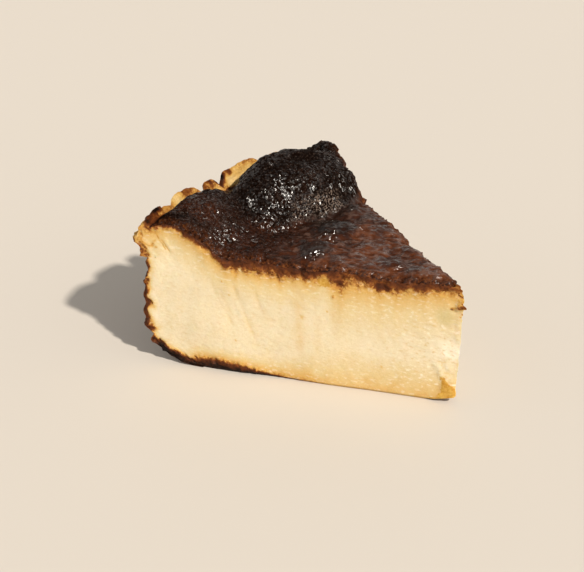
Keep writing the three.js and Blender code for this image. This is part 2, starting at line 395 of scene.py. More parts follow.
cutLook = {
    "seeds": {"back": 24, "front": 21},
    "paleDepth": 12.0,                     # the depth stops here
    "crustEnd": 3.4,                       # depth at which the crust gives way to the glow below it
    "patches": (1.0, 4.0, 3, 5),
    "topCrust": (                          # radii, and the crust's thickness there
        (0, 6, 14, 25, 37, 50, 64, 72, 80, 86, 92, 98),
        (1.7, 1.9, 2.3, 3.1, 4.2, 4.2, 4.2, 3.6, 2.2, 1.6, 1.5, 1.2)),
    "topWobble": [(0.8, 8.0, 3, 0), (0.5, 1.6, 2, 29)],
    "topLeast": 0.8,                       # thinnest top crust
    "topStart": ((0, 2, 4, 30, 45, 94, 97.5), (2.8, 2.6, 1.6, 1.3, 0.2, 0.2, 2.2)),   # radii, burnt depth
    "topStartWobble": (0.7, 5.0, 2, 13),
    "topRise": (1.6, 1.0, 20, 32),         # how late the crust pales at the tip and at the rim, and the radii
    "topGlow": ((0, 36, 48, 100), (0.52, 0.46, 0.8, 0.75)),   # radii, depth gained per millimetre below it
    "drips": [                             # radius, width and extra thickness of the front cut's top crust
        (43.0, 2.4, -2.6), (37.6, 1.0, 2.0), (25.2, 2.0, 1.4), (20.0, 0.9, 1.2), (64.0, 2.0, 0.8),
        (57.0, 1.2, 0.9), (12.0, 1.2, 0.7), (75.0, 1.1, 1.6), (71.6, 1.0, 1.2),
    ],
    "sideCrust": (                         # heights, and the side skin's thickness there
        (0, 5, 8.6, 9.4, 10.8, 11.8, 15.5, 20, 29.8, 31.2, 37.5, 39, 47, 50),
        (3.0, 2.9, 2.4, 0.3, 0.4, 1.6, 1.7, 1.9, 1.7, 0.25, 0.3, 1.7, 1.2, 1.0)),
    "sideRag": (1.0, 2.2, 3, 23),
    "sideRagShare": (0.2, 0.5, 6, 12),     # how ragged it is at the foot and above, and the heights
    "sideLeast": (0.3, 0.2),               # least share of its thickness, and thinnest skin
    "sideStart": (                         # heights, and its burnt depth there
        (0, 8.6, 9.6, 11.0, 12.0, 15, 20, 22, 29.5, 31.5, 37.5, 38.5, 46, 49),
        (-1.6, -1.4, 1.6, 1.0, -1.2, -1.0, -0.7, 0.9, 1.0, 2.2, 2.6, 3.0, 3.2, 2.8)),
    "sidePatches": (1.6, (1.3, 1.1, 2, 31)),   # share of the patches, and finer noise
    "sidePatchShare": (1.0, 0.5, 36, 39),  # less on the ear
    "sideRise": 2.2,
    "sideGlow": 4.0,
    "baseCrust": (0.2, 3.7, 46, 80),       # thickness at the tip and at the rim, and the radii
    "baseWobble": (0.25, 7.0, 2, 9),
    "baseLeast": 0.2,
    "baseStart": (4.6, -1.5, 42, 60),
    "basePatches": 0.8,
    "baseRise": 1.8,
    "baseGlow": (0.26, 1.3, 40, 75),       # depth gained per millimetre above it
    "baseFade": 13.0,                      # millimetres over which the glow above the base quickens
    "specks": {                            # dark specks above the base crust
        "reach": 3.2, "inner": 0.4, "radii": (70, 82), "spacing": 1.25, "size": (0.42, 0.24), "tone": 1.2,
        "clumps": (2.6, 19), "clumpEdge": (0.0, 0.3), "seed": 17,
    },
    "smears": [                            # radius, top, foot, width
        (50.8, 36.0, 12.0, 1.7), (44.8, 26.0, 13.0, 1.2), (38.8, 33.0, 18.0, 1.5),
    ],
    "smearEnds": (4.0, 3.0),               # length of a smear's fading ends, outside and inside its foot
    "smearNoise": (0.7, (0.5, 4.0, 3, 47)),
    "smearGroove": 0.7,                    # how strongly the knife's grooves are smeared
    "cracks": [                            # lines of torn brown crust: radius and height of each end
        (98.8, 48.3, 94.6, 41.0), (95.8, 44.6, 93.4, 40.4),
        (103.0, 42.6, 97.4, 41.6), (99.6, 41.9, 98.2, 44.0),
    ],
    "crackLook": (0.55, 0.1, 0.5, 3.7),    # outer and inner half width, raggedness, depth
    "flake": (3.0, 33.3, -1.6, 34.9),
    "flakeLook": (0.75, 0.3, 0.6, 2.7, 1.6),   # the same, and how much the depth varies
    "tipChunk": (5.5, 9.3, 4.6, 1.05),     # broken golden foot: reach, height, height at the tip, slope
    "chunkRag": (0.7, 1.8, 2, 33),
    "chunkFlare": 4.0,                     # height below which it widens towards the base
    "chunkEdge": (0.5, -0.5),
    "chunkTone": (4.3, 0.3, 8.0),          # its depth, how much that varies, and depth gained outside it
    "chunkShade": (0.3, 5.6, 0.9),         # painted shade line at its side: depth, radius, width
    "crumbs": [                            # lumps of curd above it: radius, height, size, rise
        (5.2, 10.6, 1.9, 0.6), (3.4, 9.3, 1.7, 0.5), (6.4, 12.6, 1.8, 0.4), (1.6, 7.6, 1.6, 0.4),
        (3.2, 12.4, 1.9, 0.35),
    ],
    "crumbled": {                          # paler curd above the broken foot
        "radii": (10, 3), "top": (27, 17), "foot": (7, 9), "depth": 2.0, "noise": (0.8, (0.6, 3.0, 2, 95)),
    },
    "dots": [                              # dots and patches of the front cut: radius, height, size, depth
        (2.9, 33.3, 0.5, 0.2), (0.1, 32.0, 0.4, 2.0), (-0.2, 30.6, 0.4, 1.6), (0.4, 37.8, 0.7, 2.5),
        (76.1, 32.9, 0.5, 3.4), (73.7, 28.1, 0.45, 3.8), (40.2, 32.4, 0.6, 2.6), (41.8, 26.8, 0.5, 3.8),
        (50.0, 23.7, 1.1, 5.2), (72.0, 11.9, 0.5, 4.1), (79.8, 16.7, 0.45, 4.2), (24.1, 9.6, 0.7, 4.4),
        (38.0, 36.9, 1.3, 0.9), (25.6, 37.6, 1.8, 0.6), (23.2, 37.4, 1.6, 0.7), (21.3, 35.9, 0.7, 2.4),
        (26.3, 36.2, 0.7, 2.6),
    ],
    "dotCore": 0.4,
    "yellowPatches": [                     # bright custard below the crust: radius, height, size, strength
        (42.8, 36.9, 4.0, 1.0), (0.6, 36.4, 3.6, 0.6),
    ],
    "yellowFlat": 1.4,                     # how much wider than high they are
    "yellowDepth": (3.2, 4.2),             # browning at which they start and are full
    "yellowNoise": (0.85, (0.3, 2.0, 2, 87)),
    "coolSpot": (4.8, 30.2, 4.2),          # smooth greyish spot: radius, height, size
    "spotCore": 0.3,
    "curd": {"least": 0.45, "more": 0.55, "radii": (30, 8), "top": (36, 28), "foot": (2, 8)},
    "knifeMarks": [                        # grooves left by the knife: radius and height of each end
        (79.6, 33.0, 71.0, 15.0), (77.2, 31.0, 71.6, 19.0),
        (72.5, 33.0, 64.3, 11.4), (66.9, 34.4, 60.8, 19.1),
    ],
    "knifeEnds": ((0, 5), (0.5, -3)),      # fading ends, from the mark's foot and from its head
    "knifeWidth": 0.7,
    "knifeBreaks": (0.6, 0.25, 1.5, 59, 0.65, 0.6),   # stretch along and up, size, seed, mean depth, change
    "knifeLean": 26.0,
}


def lineDistance(along, z, line):  # distance from each spot to a straight piece of line
    fromAlong, fromZ, toAlong, toZ = line
    stepAlong, stepZ = toAlong - fromAlong, toZ - fromZ
    share = ((along - fromAlong) * stepAlong + (z - fromZ) * stepZ) / (stepAlong ** 2 + stepZ ** 2)
    share = np.clip(share, 0, 1)
    return np.hypot(along - fromAlong - share * stepAlong, z - fromZ - share * stepZ)


def crustDepth(distance, start, thickness, glow, rise):  # brown, rising ever faster, then slowly to cream
    end = cutLook["crustEnd"]
    through = start + (end - start) * np.clip(distance / thickness, 0, 1) ** rise
    return np.where(distance < thickness, through, np.maximum(start, end) + (distance - thickness) * glow)


def stain(depth, tone, share):  # the depth brought down to the tone, where it is paler than that
    return blend(depth, np.minimum(depth, tone), share)


def tipBreak(along, z):  # 1 where the foot of the tip has broken off and shows golden, 0 elsewhere
    reach, height, tipHeight, slope = cutLook["tipChunk"]
    ragged = layeredNoise(stacked(along, z, 0), *cutLook["chunkRag"])
    beside = along - reach - np.maximum(0, cutLook["chunkFlare"] - z)
    outside = np.maximum(np.maximum(beside, z - height), z - tipHeight - slope * along)
    return smoothStep(*cutLook["chunkEdge"], outside + ragged)


def frontStains(depth, along, z, patchy):  # the front cut's cracks, flake, dots and broken foot, with a painted shade line beside the foot
    look = cutLook
    outer, inner, rag, tone = look["crackLook"]
    for line in look["cracks"]:
        away = lineDistance(along, z, line) * (1 + rag * patchy)
        depth = stain(depth, tone, smoothStep(outer, inner, away))
    outer, inner, rag, tone, vary = look["flakeLook"]
    flake = smoothStep(outer, inner, lineDistance(along, z, look["flake"]) * (1 + rag * patchy))
    depth = stain(depth, tone + vary * patchy, flake)
    for atAlong, atZ, size, tone in look["dots"]:
        depth = stain(depth, tone, spotShare(along - atAlong, z - atZ, size, look["dotCore"]))
    tone, vary, outside = look["chunkTone"]
    shade, atAlong, width = look["chunkShade"]
    # the broken foot, less a painted shade line at its side
    chunk = tone + vary * patchy - shade * bell(along, atAlong, width) + outside * (1 - tipBreak(along, z))
    return np.minimum(depth, chunk)


def cutBrowning(place, side, rows, cut):  # least of the depths below top, side and base, with its stains
    look, seed = cutLook, cutLook["seeds"][cut]

    def uneven(where, height, size, layers, shift):  # noise of this cut's own
        return layeredNoise(where, height, size, layers, seed + shift)

    spots = stacked(place["radius"], place["z"])
    inCut = spots[side]
    along, z = inCut[:, 0], inCut[:, 1]
    flat, both = stacked(along, 0, 0), stacked(along, z, 0)
    sortedBy = (1, 0, 0)   # the row at the rim goes by height, those at the top and the base by radius
    lines = [spots[row][np.argsort(spots[row][:, axis])] for row, axis in zip(rows, sortedBy)]
    beside, below, above = (nearestOnLine(inCut, line) for line in lines)
    patchy = uneven(both, *look["patches"])

    top = np.interp(along, *look["topCrust"]) + sum(uneven(flat, *wobble) for wobble in look["topWobble"])
    if cut == "front":
        top = top + sum(extra * bell(along, middle, width) for middle, width, extra in look["drips"])
    topStart = np.interp(along, *look["topStart"]) + uneven(flat, *look["topStartWobble"])
    topGlow = np.interp(along, *look["topGlow"])
    topRise = fade(along, *look["topRise"])
    depth = crustDepth(below, topStart, np.maximum(top, look["topLeast"]), topGlow, topRise)

    leastShare, thinnest = look["sideLeast"]
    ragged = 1 + fade(z, *look["sideRagShare"]) * uneven(both, *look["sideRag"])
    sideCrust = np.interp(z, *look["sideCrust"]) * np.maximum(leastShare, ragged)
    patchShare, finer = look["sidePatches"]
    patches = (patchShare * patchy + uneven(both, *finer)) * fade(z, *look["sidePatchShare"])
    sideStart = np.interp(z, *look["sideStart"]) + patches
    sideCrust = np.maximum(sideCrust, thinnest)
    depth = np.minimum(depth, crustDepth(beside, sideStart, sideCrust, look["sideGlow"], look["sideRise"]))

    base = fade(along, *look["baseCrust"]) * (1 + uneven(flat, *look["baseWobble"]))
    baseStart = fade(along, *look["baseStart"]) + look["basePatches"] * patchy
    quickened = above + np.maximum(above - base, 0) ** 2 / look["baseFade"]
    baseGlow = fade(along, *look["baseGlow"])
    depth = np.minimum(depth, crustDepth(quickened, baseStart, np.maximum(base, look["baseLeast"]), baseGlow,
                                         look["baseRise"]))

    speck = look["specks"]
    clumpSize, clumpSeed = speck["clumps"]
    speckled = smoothStep(*speck["size"], cellDistance(both, speck["spacing"], seed + speck["seed"]))
    speckled = speckled * smoothStep(*speck["clumpEdge"], softNoise(both, clumpSize, seed + clumpSeed))
    speckled = speckled * smoothStep(*speck["radii"], along)
    speckled = speckled * smoothStep(base + speck["reach"], base + speck["inner"] * speck["reach"], above)
    depth = stain(depth, speck["tone"], speckled)
    if cut == "front":
        depth = frontStains(depth, along, z, patchy)
    return np.minimum(depth, look["paleDepth"])


def knifeGroove(along, z):  # 1 along the knife's grooves, fading to 0 at their ends and sides
    foot, head = cutLook["knifeEnds"]
    groove = np.zeros(len(z))
    for line in cutLook["knifeMarks"]:
        ends = smoothStep(*foot, z - line[3]) * smoothStep(*head, z - line[1])
        groove = np.maximum(groove, bell(lineDistance(along, z, line), 0, cutLook["knifeWidth"]) * ends)
    alongStretch, upStretch, size, seed, mean, change = cutLook["knifeBreaks"]
    broken = softNoise(stacked(along * alongStretch, z * upStretch, 0), size, seed)
    return groove * np.clip(mean + change * broken, 0, 1)


# the burnt top: where it is black, where it shines and where the pale wall shows

topLook = {
    "blisters": [          # radius, angle, size in millimetres, strength of the burnt smooth spots
        (55.0, 29.5, 5.6, 0.60), (49.5, 11.5, 4.4, 0.55), (25.5, 23.0, 3.4, 0.40), (27.5, 42.0, 3.0, 0.26),
        (63.0, 42.0, 5.0, 0.25), (38.0, 30.0, 4.0, 0.22), (41.0, 8.0, 3.0, 0.25), (16.0, 20.0, 2.6, 0.28),
        (33.0, 14.0, 3.0, 0.2), (44.0, 44.0, 3.6, 0.25),
    ],
    "wetSpots": [          # the same for wet, shining places
        (51.0, 23.5, 2.6, 0.8), (46.5, 7.0, 2.6, 0.6), (47.0, 38.0, 1.6, 0.6), (84.0, 12.5, 7.0, 0.32),
        (24.0, 17.0, 1.6, 0.5), (31.0, 36.0, 1.6, 0.5), (76.0, 7.5, 7.0, 0.8), (60.0, 18.0, 3.0, 0.3),
        (74.0, 27.5, 6.0, 0.75), (79.5, 28.6, 4.0, 0.5), (72.0, 21.0, 4.5, 0.8),
    ],
    "tanPatches": [(65.5, 37.0, 6.5, 1.0), (65.0, 27.5, 3.4, 0.7)],
    "spotSharp": {"char": 1.5, "wet": 1.5, "tan": 2.0, "rise": 1.3},   # how crisp the spots are in each use
    "spotRag": (0.45, 4.0, 2, 29),
    "spotEdge": (1.0, 0.7),    # how far a spot's edge fades outward and inward
    "risen": (1.5, 5.5),       # height above the plain top at which a bubble starts and is clear of it
    "domeAngles": (14, 22),    # the large bubble starts here
    "grittyRadii": (58, 68),   # the low bubble at the front corner is gritty all over, by radius and angle
    "grittyAngles": (26, 20),
    "edge": (2.2, 0.7, 0.45),  # width of the browned edge along the cuts, its loss on the dome and on grit
    "char": {"plain": 0.24, "risen": 0.44, "dome": 0.26, "outer": (0.0, 0.34, 36, 64), "blister": 0.85,
             "edge": -0.22, "most": 1.2, "noise": (0.16, 9.0, 3, 31)},
    "gloss": {"plain": (0.85, 0.50, 30, 64), "risen": 0.40, "edge": -0.15, "noise": (0.12, 6.0, 3, 37)},
    "sparkle": {"flank": 0.9, "heights": (54.5, 49), "radii": (90, 82), "clumps": (1.0, 3.2, 2, 35),
                "clumpEdge": (-0.45, 0.25), "least": 0.1, "more": 0.9, "onTan": 0.4},
    "tanHeights": ((42, 43.5), (50.5, 48)),
    "paleWall": (96.9, 97.5),  # radii over which the burnt top gives way to the golden wall
    "paleEnd": (46.5, 45),     # angles where the wall is burnt again
    "paleTip": (3.8, 3.0),     # radii inside which the tip is golden
    "paleTipRag": (0.5, 2.0, 2, 39),
    "blisterRise": 3.2,        # millimetres for a spot of full strength
}


def spotField(place, spots, sharp):  # strongest of the round spots, their outlines pushed in and out by noise
    x = place["nominal"] * np.cos(place["angle"] * degree)
    y = place["nominal"] * np.sin(place["angle"] * degree)
    wander = 1 + layeredNoise(place["points"], *topLook["spotRag"])
    outward, inward = topLook["spotEdge"]
    field = np.zeros(len(x))
    for radius, angle, size, strength in spots:
        away = np.hypot(x - radius * math.cos(angle * degree), y - radius * math.sin(angle * degree)) * wander
        field = np.maximum(field, strength * smoothStep(1 + outward / sharp, 1 - inward / sharp, away / size))
    return field


def crustFields(place, sides):  # how burnt, gritty and wet the top is, summed by height, radius and angle
    look, sharp = topLook, topLook["spotSharp"]
    points, nominal, angle, z = (place[name] for name in ("points", "nominal", "angle", "z"))
    risen = smoothStep(*look["risen"], z - plainHeight(nominal)) * sides["top"]
    onDome = risen * smoothStep(*look["domeAngles"], angle)
    frontBubble = smoothStep(*look["grittyRadii"], nominal) * smoothStep(*look["grittyAngles"], angle)
    gritty = np.maximum(risen, frontBubble) * sides["top"]
    width, domeLoss, grittyLoss = look["edge"]
    lost = np.maximum(domeLoss * onDome, grittyLoss * gritty)
    edge = bell(cutDistance(nominal, angle), 0, width) * (1 - lost)

    burnt = look["char"]
    char = burnt["plain"] + burnt["risen"] * risen + burnt["dome"] * onDome
    char = char + fade(nominal, *burnt["outer"]) * (1 - risen) + burnt["edge"] * edge
    char = char + burnt["blister"] * spotField(place, look["blisters"], sharp["char"])
    char = char + layeredNoise(points, *burnt["noise"])

    film = look["gloss"]
    gloss = fade(nominal, *film["plain"]) * (1 - risen) + film["risen"] * risen + film["edge"] * edge
    gloss = gloss + layeredNoise(points, *film["noise"])

    tan = spotField(place, look["tanPatches"], sharp["tan"])
    for heights in look["tanHeights"]:
        tan = tan * smoothStep(*heights, z)
    pale = smoothStep(*look["paleWall"], nominal) * smoothStep(*look["paleEnd"], angle)
    pale = np.maximum(pale, smoothStep(*look["paleTip"], nominal + layeredNoise(points, *look["paleTipRag"])))

    wet = look["sparkle"]
    wetFlank = onDome * smoothStep(*wet["heights"], z) * smoothStep(*wet["radii"], nominal)
    clumps = smoothStep(*wet["clumpEdge"], layeredNoise(points, *wet["clumps"]))
    sparkle = wet["flank"] * wetFlank + spotField(place, look["wetSpots"], sharp["wet"])
    sparkle = np.clip(sparkle * (wet["least"] + wet["more"] * clumps), 0, 1)
    sparkle = sparkle * (1 - pale) * blend(1, wet["onTan"], tan)
    place["risen"] = risen   # the relief reads it
    return {"char": np.clip(char, 0, burnt["most"]), "gloss": np.clip(gloss, 0, 1), "paleWall": pale,
            "edge": edge, "tan": tan, "sparkle": sparkle, "gritty": gritty}


# browning of the rim's wall and of the side, as depth below the baked skin

wallTone = {
    "depth": (3.35, 0.42, 3.4),          # at the wall's top, gained per millimetre below it, how far
    "noise": (0.8, 4.0, 3, 41),
    "corner": {"angles": (7.5, 4.5), "depth": 2.2, "top": (2.6, 0.0, 0.4, 1.3), "noise": (1.9, 1.5, 2, 93)},
    "tones": [                           # lighter and darker stretches: angle, width, depth
        (22.4, 1.6, -0.8), (26.2, 0.8, -1.9), (11.5, 2.0, 1.6), (15.6, 1.8, -0.9),
    ],
    "tips": [(26.2, 0.5), (28.0, 0.6), (22.7, 0.3)],   # burnt tips of the fins: angle, width
    "tipDepth": (-2.6, 0.0, 0.5, 1.6),   # depth at the very top and below it, and how far below
    "inside": (27.5, 1.6, 0.0, 0.9, 1.0, 2.6),         # paler place inside a fin, painted light on its lower face: angle, width, the same four
    "flecks": {"noise": (1.0, 3.0, 2, 45), "edge": (0.2, 0.6), "depth": (-2.4, 0.0, 0.2, 1.4),
               "angles": (18, 22)},
    "foot": ((-1.0, 0.0, 97.1, 97.6), (26, 23)),       # darker foot of the wall: depths and radii, angles
    "tip": (20.0, 2.7, (1.2, 2.0, 3, 49)),             # the tip of the slice inside this radius: depth, noise
}


def wallDepth(place):  # depth below the wall's top, less the burnt corner, tips, flecks and foot, with painted light inside a fin
    look = wallTone
    points, nominal, angle = place["points"], place["nominal"], place["angle"]
    below = wallTop(angle) - place["z"]
    atTop, gain, reach = look["depth"]
    depth = atTop + gain * np.clip(below, 0, reach) + layeredNoise(points, *look["noise"])
    corner = look["corner"]
    burnt = corner["depth"] + fade(below, *corner["top"]) - layeredNoise(points, *corner["noise"])
    depth = depth - burnt * smoothStep(*corner["angles"], angle)
    depth = depth + sum(tone * bell(angle, atAngle, width) for atAngle, width, tone in look["tones"])
    tips = sum(bell(angle, atAngle, width) for atAngle, width in look["tips"])
    depth = depth + fade(below, *look["tipDepth"]) * tips
    flecks = look["flecks"]
    flecked = smoothStep(*flecks["edge"], layeredNoise(points, *flecks["noise"]))
    flecked = flecked * smoothStep(*flecks["angles"], angle)
    depth = depth + fade(below, *flecks["depth"]) * flecked
    # painted light: the lower part inside a fin made paler, as if lit
    atAngle, width, *tones = look["inside"]
    depth = depth + fade(below, *tones) * bell(angle, atAngle, width)
    tones, angles = look["foot"]
    depth = depth + fade(nominal, *tones) * smoothStep(*angles, angle)
    tipRadius, tipDepth, tipNoise = look["tip"]
    return np.where(nominal < tipRadius, tipDepth + layeredNoise(points, *tipNoise), depth)


sideTone = {
    "depth": (1.0, 2.9, 20, 40),         # below and above these heights
    "noise": (1.7, 11.0, 4, 43),
    "foot": (-1.4, 0.0, 3, 14),          # darker foot: depth there and above, and the heights
    "folds": -1.2,                       # darker creases
    "top": (-1.0, 0.0, 0.2, 1.5),        # darker top edge: depth there and below, and how far below
    "ear": (-1.2, 43.0, 3.0, (5, 2)),    # darker ear: depth, height, width, angles
}


def sideDepth(place):  # large patches, darker at the foot, in the folds, at the top edge and on the ear
    look = sideTone
    angle, z = place["angle"], place["z"]
    depth = fade(z, *look["depth"]) + layeredNoise(place["points"], *look["noise"]) + fade(z, *look["foot"])
    depth = depth + look["folds"] * sum(foldShare(fold, angle) for fold in cakeForm["folds"])
    depth = depth + fade(wallTop(angle) - z, *look["top"])
    tone, height, width, angles = look["ear"]
    return depth + tone * bell(z, height, width) * smoothStep(*angles, angle)


def cutFields(place, sides, depth):  # smears, golden foot and patches, cool spot and curd of the cuts
    look = cutLook
    points, nominal, z = place["points"], place["nominal"], place["z"]
    outside, inside = look["smearEnds"]
    smear = np.zeros(len(z))
    for along, high, low, width in look["smears"]:
        ends = smoothStep(low - outside, low + inside, z) * smoothStep(high, high - outside, z)
        smear = smear + bell(nominal, along, width) * ends
    mean, noise = look["smearNoise"]
    smear = smear * (mean + layeredNoise(points, *noise)) + look["smearGroove"] * knifeGroove(nominal, z)
    yellow = np.zeros(len(z))
    for along, height, size, strength in look["yellowPatches"]:
        spot = spotShare(nominal - along, look["yellowFlat"] * (z - height), size, look["spotCore"])
        yellow = np.maximum(yellow, strength * spot)
    yellow = yellow * smoothStep(*look["yellowDepth"], depth)
    mean, noise = look["yellowNoise"]
    golden = np.maximum(tipBreak(nominal, z), yellow) * (mean + layeredNoise(points, *noise))
    coolAlong, coolZ, coolSize = look["coolSpot"]
    cool = spotShare(nominal - coolAlong, z - coolZ, coolSize, look["spotCore"])
    soft = look["curd"]
    curd = soft["more"] * smoothStep(*soft["radii"], nominal)
    curd = soft["least"] + curd * smoothStep(*soft["top"], z) * smoothStep(*soft["foot"], z)
    return {"smear": np.clip(smear, 0, 1) * sides["front"], "golden": golden * sides["front"],
            "cool": cool * sides["front"], "curd": curd}


def sliceFields(place, sides, edgeRows):  # every field that the finishes read, one number to a point
    nominal, z = place["nominal"], place["z"]
    depth = np.where(sides["top"], wallDepth(place), sideDepth(place))
    for cut in cutLook["seeds"]:
        depth[sides[cut]] = cutBrowning(place, sides[cut], edgeRows[cut], cut)
    broken = cutLook["crumbled"]
    crumbled = smoothStep(*broken["radii"], nominal) * (1 - tipBreak(nominal, z))
    crumbled = crumbled * smoothStep(*broken["top"], z) * smoothStep(*broken["foot"], z)
    mean, noise = broken["noise"]
    crumbled = crumbled * np.clip(mean + layeredNoise(place["points"], *noise), 0, 1)
    depth = depth + broken["depth"] * crumbled * (sides["front"] | sides["back"])
    return {"bakeDepth": depth, **crustFields(place, sides), **cutFields(place, sides, depth)}


# fine relief, in millimetres along the surface's normal; creases are height, middle, size, layers and seed

reliefLook = {
    "lump": (0.55, 8.0, 2, 53),            # hand-sized unevenness of the bubbles
    "lumpShare": (0.25, 1.0),              # on the plain top, more on the bubbles
    "leather": (0.48, 0.6, 3.6, 3, 51),    # wrinkles of the burnt bubbles
    "leatherShare": (0.5, 0.8),            # on the plain top, more on grit
    "grain": (0.42, 1.9, 52),              # beads of the bubbled skin: height, spacing, seed
    "grainEdge": (0.85, 0.15, 0.45),       # where a bead starts and is full, and its middle height
    "grainShare": (0.15, 0.35, 0.3),       # on the plain top, more on grit, more where wet
    "facets": [(1.0, 2.2, 81), (0.6, 1.2, 91)],   # glassy facets of the wet flanks: height, size, seed
    "facet": 0.40,
    "facetShare": (0.06, 0.14, 0.8),       # on the plain top, more on the bubbles, more where wet
    "ripple": (-0.75, 0.55, 2.3, 2, 55),   # long ripples of the plain crust
    "rippleLie": (0.75, 0.66, 0.5),        # cosine and sine of the way they run, and their stretch
    "rippleBlister": 1.3,                  # how much a blister smooths them
    "skin": (0.12, 1.4, 2, 57),
    "crustEdge": (0.75, 0.8),              # crumbled edge of the crust: height, and the share of facets in it
    "edgeNoise": (1.0, 1.6, 3, 69),
    "edgeBack": (1.0, 1.3, 40, 50),        # more along the back cut, by angle
    "crag": (1.2, 4.6, 101),               # broken planes of the horn at the back corner
    "cragPlace": ((45, 48), (86, 92)),     # its angles and radii
    "tipNotch": (1.2, 3.0, 0.7),           # where the burnt top ends before the tip: depth, radius, width
    "cavity": 0.4,                         # depth of relief that counts as a hollow
    "knife": (0.05, 1.6, 2, 61),           # drag marks of the knife on the cuts
    "knifeStretch": (0.06, 0.02),          # along the knife's way and across the cut
    "knifeArea": (22.0, 60, -0.2, 0.5),    # size and seed of the dragged areas, and their edge
    "pits": (0.14, 2.2, 63),               # depth, spacing, seed
    "pitEdge": (0.30, 0.12),
    "pitArea": (9.0, 65, 0.0, 0.5),
    "pitHeights": (4, 8),
    "groove": 0.13,                        # the knife's deeper grooves
    "crumble": (0.16, 1.8, 3, 67),         # broken tip
    "crumbleRadii": (7, 1),
    "curd": (0.06, 1.5, 2, 77),            # crumbled curd beside it
    "curdLie": (0.45, -0.15, 0.3),         # its slabs: stretch along, lean with height, stretch across
    "curdArea": ((26, 10), (34, 26), (3, 9)),   # by radius, and by height at the top and at the foot
    "tipStep": 0.45,                       # how far the tip's broken foot stands out
    "cutEdgeDepth": (4.6, 2.6),            # browning where a cut's rough crust edge starts and is full
    "cutEdgeNoise": (1.0, 2.4, 3, 69),
    "cutEdgeFacets": (1.0, 1.5, 81),
    "sideSkin": (0.45, 6.0, 4, 71),
    "sideCrease": (-0.09, 0.0, 3.0, 2, 73),
    "paper": (0.5, 0.6, 3.4, 2, 79),       # upright wrinkles left by the paper lining
    "paperLie": (0.12, 0.16),              # their lean and their stretch upward
    "sideRag": (1.1, 1.8, 3, 75),          # torn skin beside the front cut
    "sideRagAngles": (5, 1),
    "footSettle": (0.0, 2.0),              # heights over which all relief starts
    "undercut": (0.7, 0.0, 0.0, 0.9),      # how far the foot of the cuts is rounded under, and the heights
}


def crustRelief(place, fields):  # lumps, leather creases, beads where wet, ripples on the plain, blisters
    look, points, risen = reliefLook, place["points"], place["risen"]
    wet, gritty = fields["sparkle"], fields["gritty"]
    x, y, z = points.T
    blisters = spotField(place, topLook["blisters"], topLook["spotSharp"]["rise"])
    facets = sum(facetNoise(points, *facet) for facet in look["facets"])
    plain, more = look["lumpShare"]
    relief = layeredNoise(points, *look["lump"]) * (plain + more * risen)
    plain, more = look["leatherShare"]
    relief = relief + creaseNoise(points, *look["leather"]) * (plain + more * gritty)
    height, spacing, seed = look["grain"]
    start, full, middle = look["grainEdge"]
    beads = smoothStep(start, full, cellDistance(points, spacing, seed)) - middle
    plain, onGrit, onWet = look["grainShare"]
    relief = relief + height * beads * (plain + onGrit * gritty + onWet * wet)
    plain, onBubble, onWet = look["facetShare"]
    relief = relief + look["facet"] * facets * (plain + onBubble * risen + onWet * wet)
    cosine, sine, stretch = look["rippleLie"]
    lie = stacked((x * cosine + y * sine) * stretch, y * cosine - x * sine, z * stretch)
    smoothed = (1 - gritty) * (1 - look["rippleBlister"] * blisters)
    relief = relief + creaseNoise(lie, *look["ripple"]) * smoothed
    relief = relief + layeredNoise(points, *look["skin"])
    height, facetShare = look["crustEdge"]
    ragged = layeredNoise(points, *look["edgeNoise"]) + facetShare * facets
    relief = relief + height * ragged * fields["edge"] * fade(place["angle"], *look["edgeBack"])
    angles, radii = look["cragPlace"]
    horn = smoothStep(*angles, place["angle"]) * smoothStep(*radii, place["nominal"])
    relief = relief + facetNoise(points, *look["crag"]) * horn
    depth, atRadius, width = look["tipNotch"]
    relief = relief - depth * bell(place["nominal"], atRadius, width)
    return relief + topLook["blisterRise"] * blisters * (1 - risen)


def cutRelief(place, fields):  # slanting drag marks, scattered pits, a crumbled tip and a rough crust edge
    look, points, nominal, z = reliefLook, place["points"], place["nominal"], place["z"]
    across = points[:, 1]
    lean = cutLook["knifeLean"] * degree
    alongStretch, acrossStretch = look["knifeStretch"]
    dragged = stacked(nominal * math.cos(lean) - z * math.sin(lean),
                      (nominal * math.sin(lean) + z * math.cos(lean)) * alongStretch, across * acrossStretch)
    size, seed, *edge = look["knifeArea"]
    relief = layeredNoise(dragged, *look["knife"]) * smoothStep(*edge, softNoise(points, size, seed))
    depth, spacing, seed = look["pits"]
    pitted = smoothStep(*look["pitEdge"], cellDistance(points, spacing, seed))
    size, seed, *edge = look["pitArea"]
    pitted = pitted * smoothStep(*edge, softNoise(points, size, seed))
    relief = relief - depth * pitted * smoothStep(*look["pitHeights"], z)
    relief = relief + layeredNoise(points, *look["crumble"]) * smoothStep(*look["crumbleRadii"], nominal)
    radii, head, foot = look["curdArea"]
    curdArea = smoothStep(*radii, nominal) * smoothStep(*head, z) * smoothStep(*foot, z)
    alongStretch, slant, acrossStretch = look["curdLie"]
    slab = stacked(nominal * alongStretch + z * slant, z, across * acrossStretch)
    relief = relief + layeredNoise(slab, *look["curd"]) * curdArea
    ofFront = look["tipStep"] * tipBreak(nominal, z) - look["groove"] * knifeGroove(nominal, z)
    for atAlong, atZ, size, rise in cutLook["crumbs"]:
        ofFront = ofFront + rise * spotShare(nominal - atAlong, z - atZ, size, 0)
    relief = relief + ofFront * place["inFront"]
    height, facetShare = look["crustEdge"]
    facets = facetNoise(points, *look["cutEdgeFacets"])
    ragged = layeredNoise(points, *look["cutEdgeNoise"]) + facetShare * facets
    return relief + height * ragged * smoothStep(*look["cutEdgeDepth"], fields["bakeDepth"])


